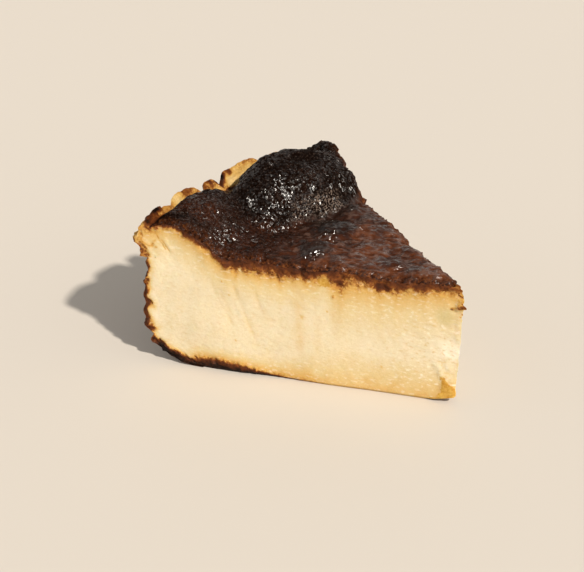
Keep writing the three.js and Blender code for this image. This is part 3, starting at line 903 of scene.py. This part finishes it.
def rimRelief(place):  # papery unevenness, torn beside the front cut
    look, points = reliefLook, place["points"]
    around = place["angle"] * degree * cakeForm["radius"]
    lean, stretch = look["paperLie"]
    paper = stacked(around + lean * place["z"], stretch * place["z"], 0)
    relief = layeredNoise(points, *look["sideSkin"]) + creaseNoise(points, *look["sideCrease"])
    relief = relief + creaseNoise(paper, *look["paper"])
    torn = smoothStep(*look["sideRagAngles"], place["angle"])
    return relief + layeredNoise(points, *look["sideRag"]) * torn


def sliceRelief(place, sides, fields):  # the mean of the sides' reliefs at each point, none at the table
    look, z = reliefLook, place["z"]
    cuts = sides["front"] | sides["back"]
    crust = crustRelief(place, fields)
    # hollows of the crust's relief, darkened by the crust finish as painted shade
    fields["cavity"] = np.clip(-crust / look["cavity"], 0, 1) * sides["top"]
    total = crust * sides["top"] + cutRelief(place, fields) * cuts + rimRelief(place) * sides["rim"]
    shared = sides["top"] * 1 + cuts * 1 + sides["rim"] * 1
    total = total / np.maximum(shared, 1) * smoothStep(*look["footSettle"], z)
    total = total - fade(z, *look["undercut"]) * (cuts & ~sides["rim"])
    tipReach = np.interp(z, *cakeForm["tipEdge"]) * smoothStep(cakeForm["tipEdgeReach"], 0, place["nominal"])
    return total + tipReach * cuts


def closeBase(points, loop):  # shrinking copies of the base's outline, closed by a fan on its middle
    outline = points[loop]
    middle = outline.mean(axis=0) * np.array([1, 1, 0])
    count = len(loop)
    added, faces = [], []
    outerIds = loop
    start = len(points)
    for scale in sliceMesh["baseRings"]:
        ring = middle + (outline - middle) * scale
        ring[:, 2] = outline[:, 2] * scale ** sliceMesh["baseSettle"]
        added.append(ring)
        innerIds = np.arange(start, start + count)
        start += count
        faces.append(np.stack([outerIds, np.roll(outerIds, -1), np.roll(innerIds, -1), innerIds], axis=1))
        outerIds = innerIds
    added.append(middle[None, :])
    fan = np.stack([outerIds, np.roll(outerIds, -1), np.full(count, start)], axis=1)
    return np.concatenate(added), np.concatenate(faces), fan


def buildSlice(finishes):  # the skin pushed out along its normals by the relief, and closed below
    place, quads, sheetOf, sides, edgeRows, loop = sliceSkin()
    fields = sliceFields(place, sides, edgeRows)
    relief = sliceRelief(place, sides, fields)
    points = place["points"] + pointNormals(place["points"], quads) * relief[:, None]
    points[:, 2] = np.maximum(points[:, 2], 0)
    basePoints, baseQuads, baseFan = closeBase(points, loop)
    allPoints = np.concatenate([points, basePoints]) * mm + np.array([cakeAxis.x, cakeAxis.y, 0])
    faces = np.concatenate([quads, baseQuads]).tolist() + baseFan.tolist()
    mesh = bpy.data.meshes.new("basqueSlice")
    mesh.from_pydata(allPoints.tolist(), [], faces)
    for name, values in fields.items():
        layer = mesh.attributes.new(name, "FLOAT", "POINT")
        fill = sliceMesh["baseDepth"] if name == "bakeDepth" else 0.0
        layer.data.foreach_set("value", np.concatenate([values, np.full(len(basePoints), fill)]))
    slots = np.array(sliceMesh["sheetSlots"])[sheetOf]
    bubbleSlot, leastGrit = sliceMesh["bubbleSlot"]
    slots[(sheetOf == 0) & (fields["gritty"][quads].mean(axis=1) > leastGrit)] = bubbleSlot
    slots = np.concatenate([slots, np.full(len(baseQuads) + len(baseFan), sliceMesh["sheetSlots"][-1])])
    for finish in finishes:
        mesh.materials.append(finish)
    mesh.polygons.foreach_set("material_index", slots.astype(np.int32))
    mesh.shade_smooth()
    mesh.set_sharp_from_angle(angle=sliceMesh["sharpAngle"] * degree)
    mesh.validate()
    piece = bpy.data.objects.new("basqueSlice", mesh)
    bpy.context.scene.collection.objects.link(piece)
    print("slice skin:", len(allPoints), "points,", len(faces), "faces")
    return piece


# shader helpers

def fillSockets(tree, node, sockets):  # links or fills sockets; _0 is the first one, Base_Color is Base Color
    for name, value in sockets.items():
        socket = node.inputs[int(name[1:])] if name[0] == "_" else node.inputs[name.replace("_", " ")]
        if isinstance(value, bpy.types.NodeSocket):
            tree.links.new(value, socket)
        else:
            socket.default_value = value
    return node


def addNode(tree, kind, settings=None, **sockets):  # a node with its properties set and its sockets filled
    node = tree.nodes.new(kind)
    for name, value in (settings or {}).items():
        setattr(node, name, value)
    return fillSockets(tree, node, sockets)


def useGroup(tree, group, **sockets):  # a node group placed with its own values
    return addNode(tree, "ShaderNodeGroup", {"node_tree": group}, **sockets)


def mathNode(tree, operation, first, second=0.0, third=0.0):  # one operation on up to three numbers
    return addNode(tree, "ShaderNodeMath", {"operation": operation}, _0=first, _1=second, _2=third).outputs[0]


def product(tree, first, *others):  # all of them multiplied
    for other in others:
        first = mathNode(tree, "MULTIPLY", first, other)
    return first


def vectorNode(tree, operation, first, second):  # and on two vectors
    node = addNode(tree, "ShaderNodeVectorMath", {"operation": operation}, _0=first, _1=second)
    return node.outputs["Value" if operation == "DOT_PRODUCT" else "Vector"]


def rangeNode(tree, value, low, high, toLow=0.0, toHigh=1.0):  # low to high becomes toLow to toHigh
    node = addNode(tree, "ShaderNodeMapRange", None, _0=value, _1=low, _2=high, _3=toLow, _4=toHigh)
    return node.outputs[0]


def mixColour(tree, share, first, second, kind="MIX"):  # plain colours are three numbers
    first, second = ((*part, 1) if isinstance(part, tuple) else part for part in (first, second))
    settings = {"data_type": "RGBA", "blend_type": kind}
    return addNode(tree, "ShaderNodeMix", settings, _0=share, _6=first, _7=second).outputs[2]


def noiseNode(tree, vector, scale, detail, roughness):  # soft noise round one half
    return addNode(tree, "ShaderNodeTexNoise", None, Vector=vector, Scale=scale, Detail=detail,
                   Roughness=roughness).outputs[0]


def attributeNode(tree, name):  # one of the mesh's fields
    return addNode(tree, "ShaderNodeAttribute", {"attribute_name": name}).outputs["Fac"]


def objectVector(tree):  # the spot on the piece
    return addNode(tree, "ShaderNodeTexCoord").outputs["Object"]


def stretchedVector(tree, vector, stretch, turns):  # stretched one way, turned by three angles in degrees
    return addNode(tree, "ShaderNodeMapping", {"vector_type": "TEXTURE"}, Vector=vector,
                   Scale=(stretch, 1.0, 1.0), Rotation=[turn * degree for turn in turns]).outputs[0]


def bumpNode(tree, height, strength=1.0, distance=1.0):  # a normal that leans with the height's slope
    node = addNode(tree, "ShaderNodeBump", None, Strength=strength, Distance=distance, Height=height)
    return node.outputs[0]


def rampNode(tree, value, stops):  # stops are a place from 0 to 1 and a colour
    node = addNode(tree, "ShaderNodeValToRGB", None, Fac=value)
    elements = node.color_ramp.elements
    for place, colour in stops[1:-1]:
        elements.new(place)
    for element, (place, colour) in zip(elements, stops):
        element.position = place
        element.color = (*colour, 1)
    return node.outputs["Color"]


def newGroup(name, inputs, outputs):  # sockets are a name and a kind
    tree = bpy.data.node_groups.new(name, "ShaderNodeTree")
    for direction, sockets in (("INPUT", inputs), ("OUTPUT", outputs)):
        for socketName, kind in sockets.items():
            tree.interface.new_socket(socketName, in_out=direction, socket_type="NodeSocket" + kind)
    return tree, tree.nodes.new("NodeGroupInput").outputs, tree.nodes.new("NodeGroupOutput")


def newFinish(name):  # a material, its nodes and its shader
    material = bpy.data.materials.new(name)
    material.use_nodes = True
    tree = material.node_tree
    return material, tree, tree.nodes["Principled BSDF"]


# browning shared by all finishes: depth below the baked skin turned into colour, with a wandering edge;
# noise is scale, detail and roughness, and a range is from low, from high, to low, to high

browningLook = {
    "stops": [                           # depth in millimetres, from black crust to the palest curd
        (-2.0, (0.008, 0.004, 0.003)),
        (-0.8, (0.026, 0.010, 0.005)),
        (0.4, (0.070, 0.020, 0.007)),
        (1.6, (0.105, 0.029, 0.008)),
        (2.6, (0.20, 0.064, 0.013)),
        (3.3, (0.44, 0.210, 0.046)),
        (4.1, (0.59, 0.357, 0.100)),
        (5.2, (0.655, 0.452, 0.185)),
        (7.0, (0.690, 0.550, 0.300)),
        (12.0, (0.740, 0.645, 0.455)),
        (14.0, (0.860, 0.800, 0.660)),
    ],
    "coarse": (420.0, 3.0, 0.6),
    "fine": (1500.0, 3.0, 0.6),
    "fineShare": 0.5,
    "grainScale": 1400.0,
    "grainShare": 0.7,
    "calm": (3.4, 5.0, 1.0, 0.15),       # the edge wanders less in the pale custard
    "toast": (4.2, 2.6),
}


def browningGroup():  # depth plus noise, read off the ramp of stops
    look = browningLook
    tree, source, sink = newGroup("browning", {"Vector": "Vector", "Depth": "Float", "Wander": "Float"},
                                  {"Color": "Color", "Toast": "Float"})
    vector = source["Vector"]
    coarse = mathNode(tree, "SUBTRACT", noiseNode(tree, vector, *look["coarse"]), 0.5)
    fine = mathNode(tree, "MULTIPLY_ADD", noiseNode(tree, vector, *look["fine"]), look["fineShare"],
                    -look["fineShare"] / 2)
    grains = addNode(tree, "ShaderNodeTexVoronoi", None, Vector=vector, Scale=look["grainScale"])
    parted = addNode(tree, "ShaderNodeSeparateColor", None, Color=grains.outputs["Color"])
    grain = mathNode(tree, "SUBTRACT", parted.outputs[0], 0.5)
    uneven = mathNode(tree, "MULTIPLY_ADD", grain, look["grainShare"], mathNode(tree, "ADD", coarse, fine))
    calm = rangeNode(tree, source["Depth"], *look["calm"])
    moved = mathNode(tree, "MULTIPLY_ADD", product(tree, uneven, source["Wander"]), calm, source["Depth"])
    low, high = look["stops"][0][0], look["stops"][-1][0]
    stops = [((place - low) / (high - low), colour) for place, colour in look["stops"]]
    fillSockets(tree, sink, {"Color": rampNode(tree, rangeNode(tree, moved, low, high), stops),
                             "Toast": rangeNode(tree, moved, *look["toast"])})
    return tree


crumbLook = {
    "grain": (4.0, 0.6),                 # detail and roughness
    "fleckScale": 0.9,
    "flecks": (2.0, 0.5),
    # the pale flecks are curd partly painted as highlight, the golden dashes curd partly painted as shade
    "fleck": (0.56, 0.70),
    "dash": (0.44, 0.30),
}


def crumbGroup():  # soft curd: fine grain for the bump, masks of pale flecks (partly painted highlight) and of golden dashes (partly painted shade)
    look = crumbLook
    tree, source, sink = newGroup("crumb", {"Vector": "Vector", "Scale": "Float"},
                                  {"Height": "Float", "Fleck": "Float", "Dash": "Float"})
    fleckScale = product(tree, source["Scale"], look["fleckScale"])
    flecks = noiseNode(tree, source["Vector"], fleckScale, *look["flecks"])
    fillSockets(tree, sink, {"Height": noiseNode(tree, source["Vector"], source["Scale"], *look["grain"]),
                             "Fleck": rangeNode(tree, flecks, *look["fleck"]),
                             "Dash": rangeNode(tree, flecks, *look["dash"])})
    return tree


custardLook = {
    "wander": 1.7,
    # pale flecks: curd partly painted as highlight; golden dashes: curd partly painted as shade
    "fleck": (0.79, 0.71, 0.54),
    "fleckTurn": (0.0, 5.0, 26.0),       # degrees: flecks lie along the front cut, falling towards the tip
    "fleckStretch": 2.0,
    "fleckScale": 1200.0,
    "dash": (0.64, 0.47, 0.215),
    "dashShare": (0.45, 1.0, 0.26, 0.60),
    "smear": (0.64, 0.455, 0.205),
    "smearShare": 0.6,
    "gold": (0.50, 0.265, 0.040),        # broken foot of the tip
    "paleGold": (0.62, 0.39, 0.090),     # and the crumbs on it
    "crumbs": (800.0, 3.0, 0.6),
    "crumbRange": (0.4, 0.6),
    "crumbRag": (0.3, 0.7, 0.35, -0.35),
    "goldEdge": (0.4, 0.65),
    "cool": (0.61, 0.505, 0.26),         # smooth greyish spot below the flake
    "coolShare": 0.9,
    "mottle": (0.985, 0.965, 0.925),
    "mottleNoise": (170.0, 3.0, 0.55),
    "mottleRange": (0.35, 0.7),
    "speck": (0.955, 0.935, 0.88),
    "speckNoise": (1500.0, 2.0, 0.55),
    "speckRange": (0.55, 0.30),
    "roughness": 0.55,
    "specular": 0.12,
    "subsurface": 0.35,
    "subsurfaceRadius": (1.0, 0.6, 0.3),
    "subsurfaceScale": 1.5,              # millimetres
    "grainHeight": (0.09, 0.05),         # millimetres: everywhere, and more on curd
}


def custardFinish(browning, crumb):  # browning, with flecks and dashes (curd, partly painted highlight and shade), smears, gold and mottling over it
    look = custardLook
    material, tree, shader = newFinish("custardCut")
    vector = objectVector(tree)
    depth = attributeNode(tree, "bakeDepth")
    brown = useGroup(tree, browning, Vector=vector, Depth=depth, Wander=look["wander"])
    turned = stretchedVector(tree, vector, look["fleckStretch"], look["fleckTurn"])
    grain = useGroup(tree, crumb, Vector=turned, Scale=look["fleckScale"]).outputs
    curd = attributeNode(tree, "curd")
    plain = mathNode(tree, "SUBTRACT", 1.0, brown.outputs["Toast"])
    crumbs = noiseNode(tree, vector, *look["crumbs"])
    ragged = mathNode(tree, "ADD", attributeNode(tree, "golden"), rangeNode(tree, crumbs, *look["crumbRag"]))
    gold = mixColour(tree, rangeNode(tree, crumbs, *look["crumbRange"]), look["gold"], look["paleGold"])
    layers = [   # share, colour, kind of mix
        # flecks stand partly for painted highlight, dashes partly for painted shade
        (product(tree, grain["Fleck"], plain, curd), look["fleck"], "MIX"),
        (product(tree, grain["Dash"], rangeNode(tree, curd, *look["dashShare"]), plain), look["dash"], "MIX"),
        (product(tree, attributeNode(tree, "smear"), look["smearShare"]), look["smear"], "MIX"),
        (rangeNode(tree, ragged, *look["goldEdge"]), gold, "MIX"),
        (product(tree, attributeNode(tree, "cool"), look["coolShare"]), look["cool"], "MIX"),
    ]
    for name in ("mottle", "speck"):
        noise = noiseNode(tree, vector, *look[name + "Noise"])
        layers.append((rangeNode(tree, noise, *look[name + "Range"]), look[name], "MULTIPLY"))
    colour = brown.outputs["Color"]
    for share, over, kind in layers:
        colour = mixColour(tree, share, colour, over, kind)
    everywhere, onCurd = look["grainHeight"]
    height = mathNode(tree, "MULTIPLY_ADD", curd, onCurd * mm, everywhere * mm)
    height = product(tree, grain["Height"], height)
    fillSockets(tree, shader, {
        "Base Color": colour, "Roughness": look["roughness"], "Specular IOR Level": look["specular"],
        "Subsurface Weight": look["subsurface"], "Subsurface Radius": look["subsurfaceRadius"],
        "Subsurface Scale": look["subsurfaceScale"] * mm, "Normal": bumpNode(tree, height)})
    return material


crustLook = {
    "stops": [
        (0.0, (0.140, 0.041, 0.0120)),
        (0.25, (0.112, 0.032, 0.0105)),
        (0.50, (0.036, 0.0105, 0.0045)),
        (0.75, (0.0160, 0.0062, 0.0036)),
        (1.0, (0.0060, 0.0026, 0.0015)),
    ],
    "unevenNoise": (4.0, 0.65),          # detail and roughness of the coarse browning
    "fineNoise": (1800.0, 2.0, 0.5),
    "unevenRange": (0.25, 0.75),
    "hollow": 0.35,                      # painted shade: how much darker the relief's hollows are
    "waveTurn": (0, 0, 41.5),            # degrees: the wavelets of the plain crust run along this way
    "waveRoughness": 0.5,
    "waveGrit": (0.0, 0.5, 1.0, 0.0),    # their painted sheen and shade fade out on grit
    "waveChar": (0.3, 0.8, 1.0, 0.35),   # and where the crust is burnt,
    "waveCalm": (0.5, 0.9, 1.0, 0.35),   # as does their height
    "crestSheen": (0.150, 0.088, 0.066),      # painted sheen on their crests
    "crestSheenRange": (0.53, 0.66, 0.0, 0.58),
    "trough": (0.055, 0.0135, 0.0036),   # painted shade between them
    "troughRange": (0.48, 0.36, 0.0, 0.75),
    "grains": (1500.0, 3.0, 0.6),
    "ash": (0.072, 0.052, 0.042),        # fine pale specks of the burnt bubbles, painted sheen of tiny facets
    "ashRange": (0.55, 0.67, 0.0, 0.62),
    "soot": (0.0035, 0.0018, 0.0012),    # and the black between them
    "sootRange": (0.46, 0.38, 0.0, 0.8),
    "tan": (0.17, 0.125, 0.098),         # dusty grains on the flank of the large bubble
    "tanRange": (0.50, 0.60),
    "border": [                          # edge along the cuts, by grain
        (0.36, (0.010, 0.0040, 0.0024)), (0.47, (0.045, 0.0125, 0.0046)), (0.57, (0.095, 0.0270, 0.0080)),
        (0.70, (0.190, 0.0640, 0.0150)),
    ],
    "borderNoise": (1000.0, 3.0, 0.65),
    "wallFoot": (0.3, 1.0, 3.2, 0.0),    # browning added at the foot of the pale wall
    "wallRange": (0.0, 0.5),
    "wallWander": 1.3,
    "roughness": 0.55,
    "specularTint": (1.0, 0.84, 0.72, 1.0),
    "filmNoise": 0.7,                    # roughness of the wet film's patches
    "filmRange": (0.40, 0.60),
    "filmHollow": (0.0, 1.0, 1.0, 0.15),     # less film in hollows,
    "filmPale": (0.0, 1.0, 1.0, 0.25),       # on the pale wall,
    "filmTrough": (0.0, 0.75, 1.0, 0.4),     # in the troughs of the wavelets
    "filmDry": (0.2, 0.6, 1.0, 0.03),        # and between the glassy cells
    "cellScale": 1350.0,
    "cellLot": (37.3, 21.7, 11.9),       # mixes a cell's three random numbers into one
    "cellShare": 0.54,                   # share of glassy cells where the crust is wettest
    "cellEdge": (1.0, 1.02),
    "cellTilt": (0.0, 1.0, 0.15, 0.30),  # how much dry and glassy cells tilt at random
    "cellSkin": (0.0, 1.0, 1.0, 0.2),    # share of the skin's relief on dry and glassy cells
    "lean": (0.685, -0.416, 0.598),      # the way most of the glassy cells face
    "skinNoise": (560.0, 4.0, 0.6),
    "gritNoise": (1900.0, 2.0, 0.5),
}
plainCrust = {
    "specular": 0.04,                        # of the dry crust
    "filmRoughness": 0.14,                   # of the wet film
    "filmSpots": (420.0, 2.0, 0.25, 1.35),   # scale and detail of its patches, their least and greatest share
    "lean": 1.3,                             # how strongly the glassy cells face one way
    "uneven": (420.0, 0.15, 0.05),           # scale and depth of the coarse browning, depth of the fine
    "waves": (620.0, 1.6, 2.0, 0.9),         # scale, stretch, detail and height of the wavelets
    "skin": 0.16,                            # height of the skin's unevenness, millimetres
    "grit": 0.05,
}
bubbleCrust = {
    "specular": 0.0,
    "filmRoughness": 0.21,
    "filmSpots": (900.0, 4.0, -0.9, 2.1),
    "lean": 0.8,
    "uneven": (700.0, 0.16, 0.12),
    "waves": (800.0, 2.6, 2.0, 0.75),
    "skin": 0.2,
    "grit": 0.42,
}


def crustColour(tree, vector, kind, baked, crestSheen, trough):  # char read off the stops with painted shade in hollows, painted sheen and shade on the wavelets, then the specks over it, the pale ones painted sheen
    look = crustLook
    scale, coarse, fine = kind["uneven"]
    coarseNoise = noiseNode(tree, vector, scale, *look["unevenNoise"])
    fineNoise = noiseNode(tree, vector, *look["fineNoise"])
    burnt = baked["char"]
    for noise, depth in ((coarseNoise, coarse), (fineNoise, fine)):
        burnt = mathNode(tree, "ADD", burnt, rangeNode(tree, noise, *look["unevenRange"], -depth, depth))
    # painted shade: darker where the relief has hollows
    burnt = mathNode(tree, "MULTIPLY_ADD", baked["cavity"], look["hollow"], burnt)
    grains = noiseNode(tree, vector, *look["grains"])
    colour = rampNode(tree, burnt, look["stops"])
    for share, name in ((crestSheen, "crestSheen"), (trough, "trough")):
        colour = mixColour(tree, share, colour, look[name])
    # pale specks painted as sheen, black between them, and tan grains
    for name, mask in (("ash", "gritty"), ("soot", "gritty"), ("tan", "tan")):
        share = product(tree, rangeNode(tree, grains, *look[name + "Range"]), baked[mask])
        colour = mixColour(tree, share, colour, look[name])
    border = rampNode(tree, noiseNode(tree, vector, *look["borderNoise"]), look["border"])
    return mixColour(tree, baked["edge"], colour, border)


def crustFinish(browning, name, kind):  # crust and pale wall, under a wet film broken into glassy cells
    look = crustLook
    material, tree, shader = newFinish(name)
    vector = objectVector(tree)
    baked = {field: attributeNode(tree, field) for field in (
        "bakeDepth", "char", "cavity", "gloss", "sparkle", "gritty", "tan", "edge", "paleWall")}
    scale, stretch, detail, waveHeight = kind["waves"]
    waves = noiseNode(tree, stretchedVector(tree, vector, stretch, look["waveTurn"]), scale, detail,
                      look["waveRoughness"])
    flat = product(tree, rangeNode(tree, baked["gritty"], *look["waveGrit"]),
                   rangeNode(tree, baked["char"], *look["waveChar"]))
    # painted sheen on the wavelets' crests and painted shade in their troughs, following the same noise as
    # their bump
    crestSheen = product(tree, rangeNode(tree, waves, *look["crestSheenRange"]), flat)
    trough = product(tree, rangeNode(tree, waves, *look["troughRange"]), flat)
    colour = crustColour(tree, vector, kind, baked, crestSheen, trough)
    pale = baked["paleWall"]
    wallDepthHere = mathNode(tree, "SUBTRACT", baked["bakeDepth"], rangeNode(tree, pale, *look["wallFoot"]))
    wall = useGroup(tree, browning, Vector=vector, Depth=wallDepthHere, Wander=look["wallWander"])
    colour = mixColour(tree, rangeNode(tree, pale, *look["wallRange"]), colour, wall.outputs["Color"])

    cells = addNode(tree, "ShaderNodeTexVoronoi", None, Vector=vector, Scale=look["cellScale"]).outputs
    lot = mathNode(tree, "FRACT", vectorNode(tree, "DOT_PRODUCT", cells["Color"], look["cellLot"]))
    glassy = mathNode(tree, "MULTIPLY_ADD", baked["sparkle"], look["cellShare"], lot)
    glassy = rangeNode(tree, glassy, *look["cellEdge"])
    scale, detail, least, most = kind["filmSpots"]
    filmNoise = noiseNode(tree, vector, scale, detail, look["filmNoise"])
    wet = product(tree, baked["gloss"], rangeNode(tree, filmNoise, *look["filmRange"], least, most))
    for mask, fading in ((baked["cavity"], "filmHollow"), (pale, "filmPale"), (trough, "filmTrough"),
                         (baked["sparkle"], "filmDry")):
        wet = product(tree, wet, rangeNode(tree, mask, *look[fading]))
    wet = rangeNode(tree, mathNode(tree, "MAXIMUM", wet, glassy), 0.0, 1.0)

    local = vectorNode(tree, "SUBTRACT", vector, cells["Position"])
    tilt = vectorNode(tree, "SUBTRACT", cells["Color"], (0.5, 0.5, 0.5))
    strewn = vectorNode(tree, "DOT_PRODUCT", local, tilt)
    facing = vectorNode(tree, "DOT_PRODUCT", local, [-kind["lean"] * part for part in look["lean"]])
    facet = mathNode(tree, "MULTIPLY_ADD", facing, glassy,
                     product(tree, strewn, rangeNode(tree, glassy, *look["cellTilt"])))
    skin = product(tree, noiseNode(tree, vector, *look["skinNoise"]), kind["skin"] * mm)
    calmWaves = product(tree, waves, rangeNode(tree, baked["char"], *look["waveCalm"]))
    skin = mathNode(tree, "MULTIPLY_ADD", calmWaves, waveHeight * mm, skin)
    grit = noiseNode(tree, vector, *look["gritNoise"])
    skin = mathNode(tree, "MULTIPLY_ADD", grit, kind["grit"] * mm, skin)
    height = mathNode(tree, "MULTIPLY_ADD", skin, rangeNode(tree, glassy, *look["cellSkin"]), facet)
    normal = bumpNode(tree, height)
    fillSockets(tree, shader, {
        "Base Color": colour, "Roughness": look["roughness"], "Specular IOR Level": kind["specular"],
        "Specular Tint": look["specularTint"], "Coat Weight": wet, "Coat Roughness": kind["filmRoughness"],
        "Normal": normal, "Coat Normal": normal})
    return material


sideLook = {
    "wander": 3.0,
    "grainScale": 600.0,
    "roughness": (0.3, 0.7, 0.42, 0.55),   # by grain
    "specular": 0.08,
    "bump": (0.6, 0.5),                    # strength, and height in millimetres
}


def sideFinish(browning, crumb):  # browning with a strongly wandering edge, roughened by the grain
    look = sideLook
    material, tree, shader = newFinish("toastedSide")
    vector = objectVector(tree)
    depth = attributeNode(tree, "bakeDepth")
    brown = useGroup(tree, browning, Vector=vector, Depth=depth, Wander=look["wander"])
    grain = useGroup(tree, crumb, Vector=vector, Scale=look["grainScale"]).outputs["Height"]
    strength, height = look["bump"]
    fillSockets(tree, shader, {
        "Base Color": brown.outputs["Color"], "Roughness": rangeNode(tree, grain, *look["roughness"]),
        "Specular IOR Level": look["specular"], "Normal": bumpNode(tree, grain, strength, height * mm)})
    return material


browning = browningGroup()
crumb = crumbGroup()
finishes = [crustFinish(browning, "burntCrust", plainCrust), custardFinish(browning, crumb),
            sideFinish(browning, crumb), crustFinish(browning, "burntBubble", bubbleCrust)]
print("finishes made:", [finish.name for finish in finishes])

slicePiece = buildSlice(finishes)
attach(slicePiece, "root")
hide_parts("cheesecake_slice")


# floor, light and camera

stageLook = {
    "floorSize": 3.0,
    "floorColour": (0.64, 0.59, 0.525),
    "floorRoughness": 0.7,
    "towardsSun": (0.72, -0.13, 0.68),
    "sunStrength": 3.8,
    "sunColour": (1.0, 0.93, 0.84),
    "sunAngle": 2.8,
    "skyLowColour": (1.0, 0.95, 0.89),
    "skyHighColour": (0.85, 0.93, 1.0),
    "skyColourRange": (0.62, 0.95),            # how far up the colour changes, 1 is overhead
    "skyStrength": (0.35, 0.85, 0.92, 0.22),   # the same for the strength, near the horizon and overhead
}


def buildFloor():  # one square under the slice
    half = stageLook["floorSize"] / 2
    corners = [(-half, -half, 0), (half, -half, 0), (half, half, 0), (-half, half, 0)]
    mesh = bpy.data.meshes.new("floor")
    mesh.from_pydata(corners, [], [(0, 1, 2, 3)])
    material, tree, shader = newFinish("paleFloor")
    fillSockets(tree, shader, {"Base Color": (*stageLook["floorColour"], 1),
                               "Roughness": stageLook["floorRoughness"]})
    mesh.materials.append(material)
    floor = bpy.data.objects.new("floor", mesh)
    bpy.context.scene.collection.objects.link(floor)


def buildLight():  # a soft sun, and a sky that changes from the horizon upward
    sun = bpy.data.lights.new("sun", "SUN")
    sun.energy = stageLook["sunStrength"]
    sun.color = stageLook["sunColour"]
    sun.angle = stageLook["sunAngle"] * degree
    lamp = bpy.data.objects.new("sun", sun)
    lamp.rotation_euler = Vector(stageLook["towardsSun"]).to_track_quat("Z", "Y").to_euler()
    bpy.context.scene.collection.objects.link(lamp)
    world = bpy.data.worlds.new("softSky")
    world.use_nodes = True
    tree = world.node_tree
    direction = addNode(tree, "ShaderNodeTexCoord").outputs["Generated"]
    upward = addNode(tree, "ShaderNodeSeparateXYZ", None, _0=direction).outputs[2]
    colour = mixColour(tree, rangeNode(tree, upward, *stageLook["skyColourRange"]), stageLook["skyLowColour"],
                       stageLook["skyHighColour"])
    fillSockets(tree, tree.nodes["Background"], {
        "Color": colour, "Strength": rangeNode(tree, upward, *stageLook["skyStrength"])})
    bpy.context.scene.world = world
    bpy.context.scene.view_settings.view_transform = "Standard"


viewLook = {
    "azimuth": 41.54,
    "elevation": 27.5,
    "distance": 0.5306,
    "aimFromAxis": (-91.39, 25.80, 0.0),   # floor point in mid-frame, millimetres from the axis
    "lens": 90.62,
    "sensor": 36,
    "nearest": 0.01,
}


def buildCamera():  # stands off the aimed point by azimuth, elevation and distance
    azimuth, elevation = viewLook["azimuth"] * degree, viewLook["elevation"] * degree
    back = Vector((math.sin(azimuth) * math.cos(elevation), -math.cos(azimuth) * math.cos(elevation),
                   math.sin(elevation)))
    aim = Vector((cakeAxis.x, cakeAxis.y, 0)) + Vector(viewLook["aimFromAxis"]) * mm
    camera = bpy.data.cameras.new("camera")
    camera.lens = viewLook["lens"]
    camera.sensor_width = viewLook["sensor"]
    camera.clip_start = viewLook["nearest"]
    eye = bpy.data.objects.new("camera", camera)
    eye.location = aim + back * viewLook["distance"]
    eye.rotation_euler = back.to_track_quat("Z", "Y").to_euler()
    bpy.context.scene.collection.objects.link(eye)
    bpy.context.scene.camera = eye


buildFloor()
buildLight()
buildCamera()
print("stage, light and camera set")

bpy.context.view_layer.update()
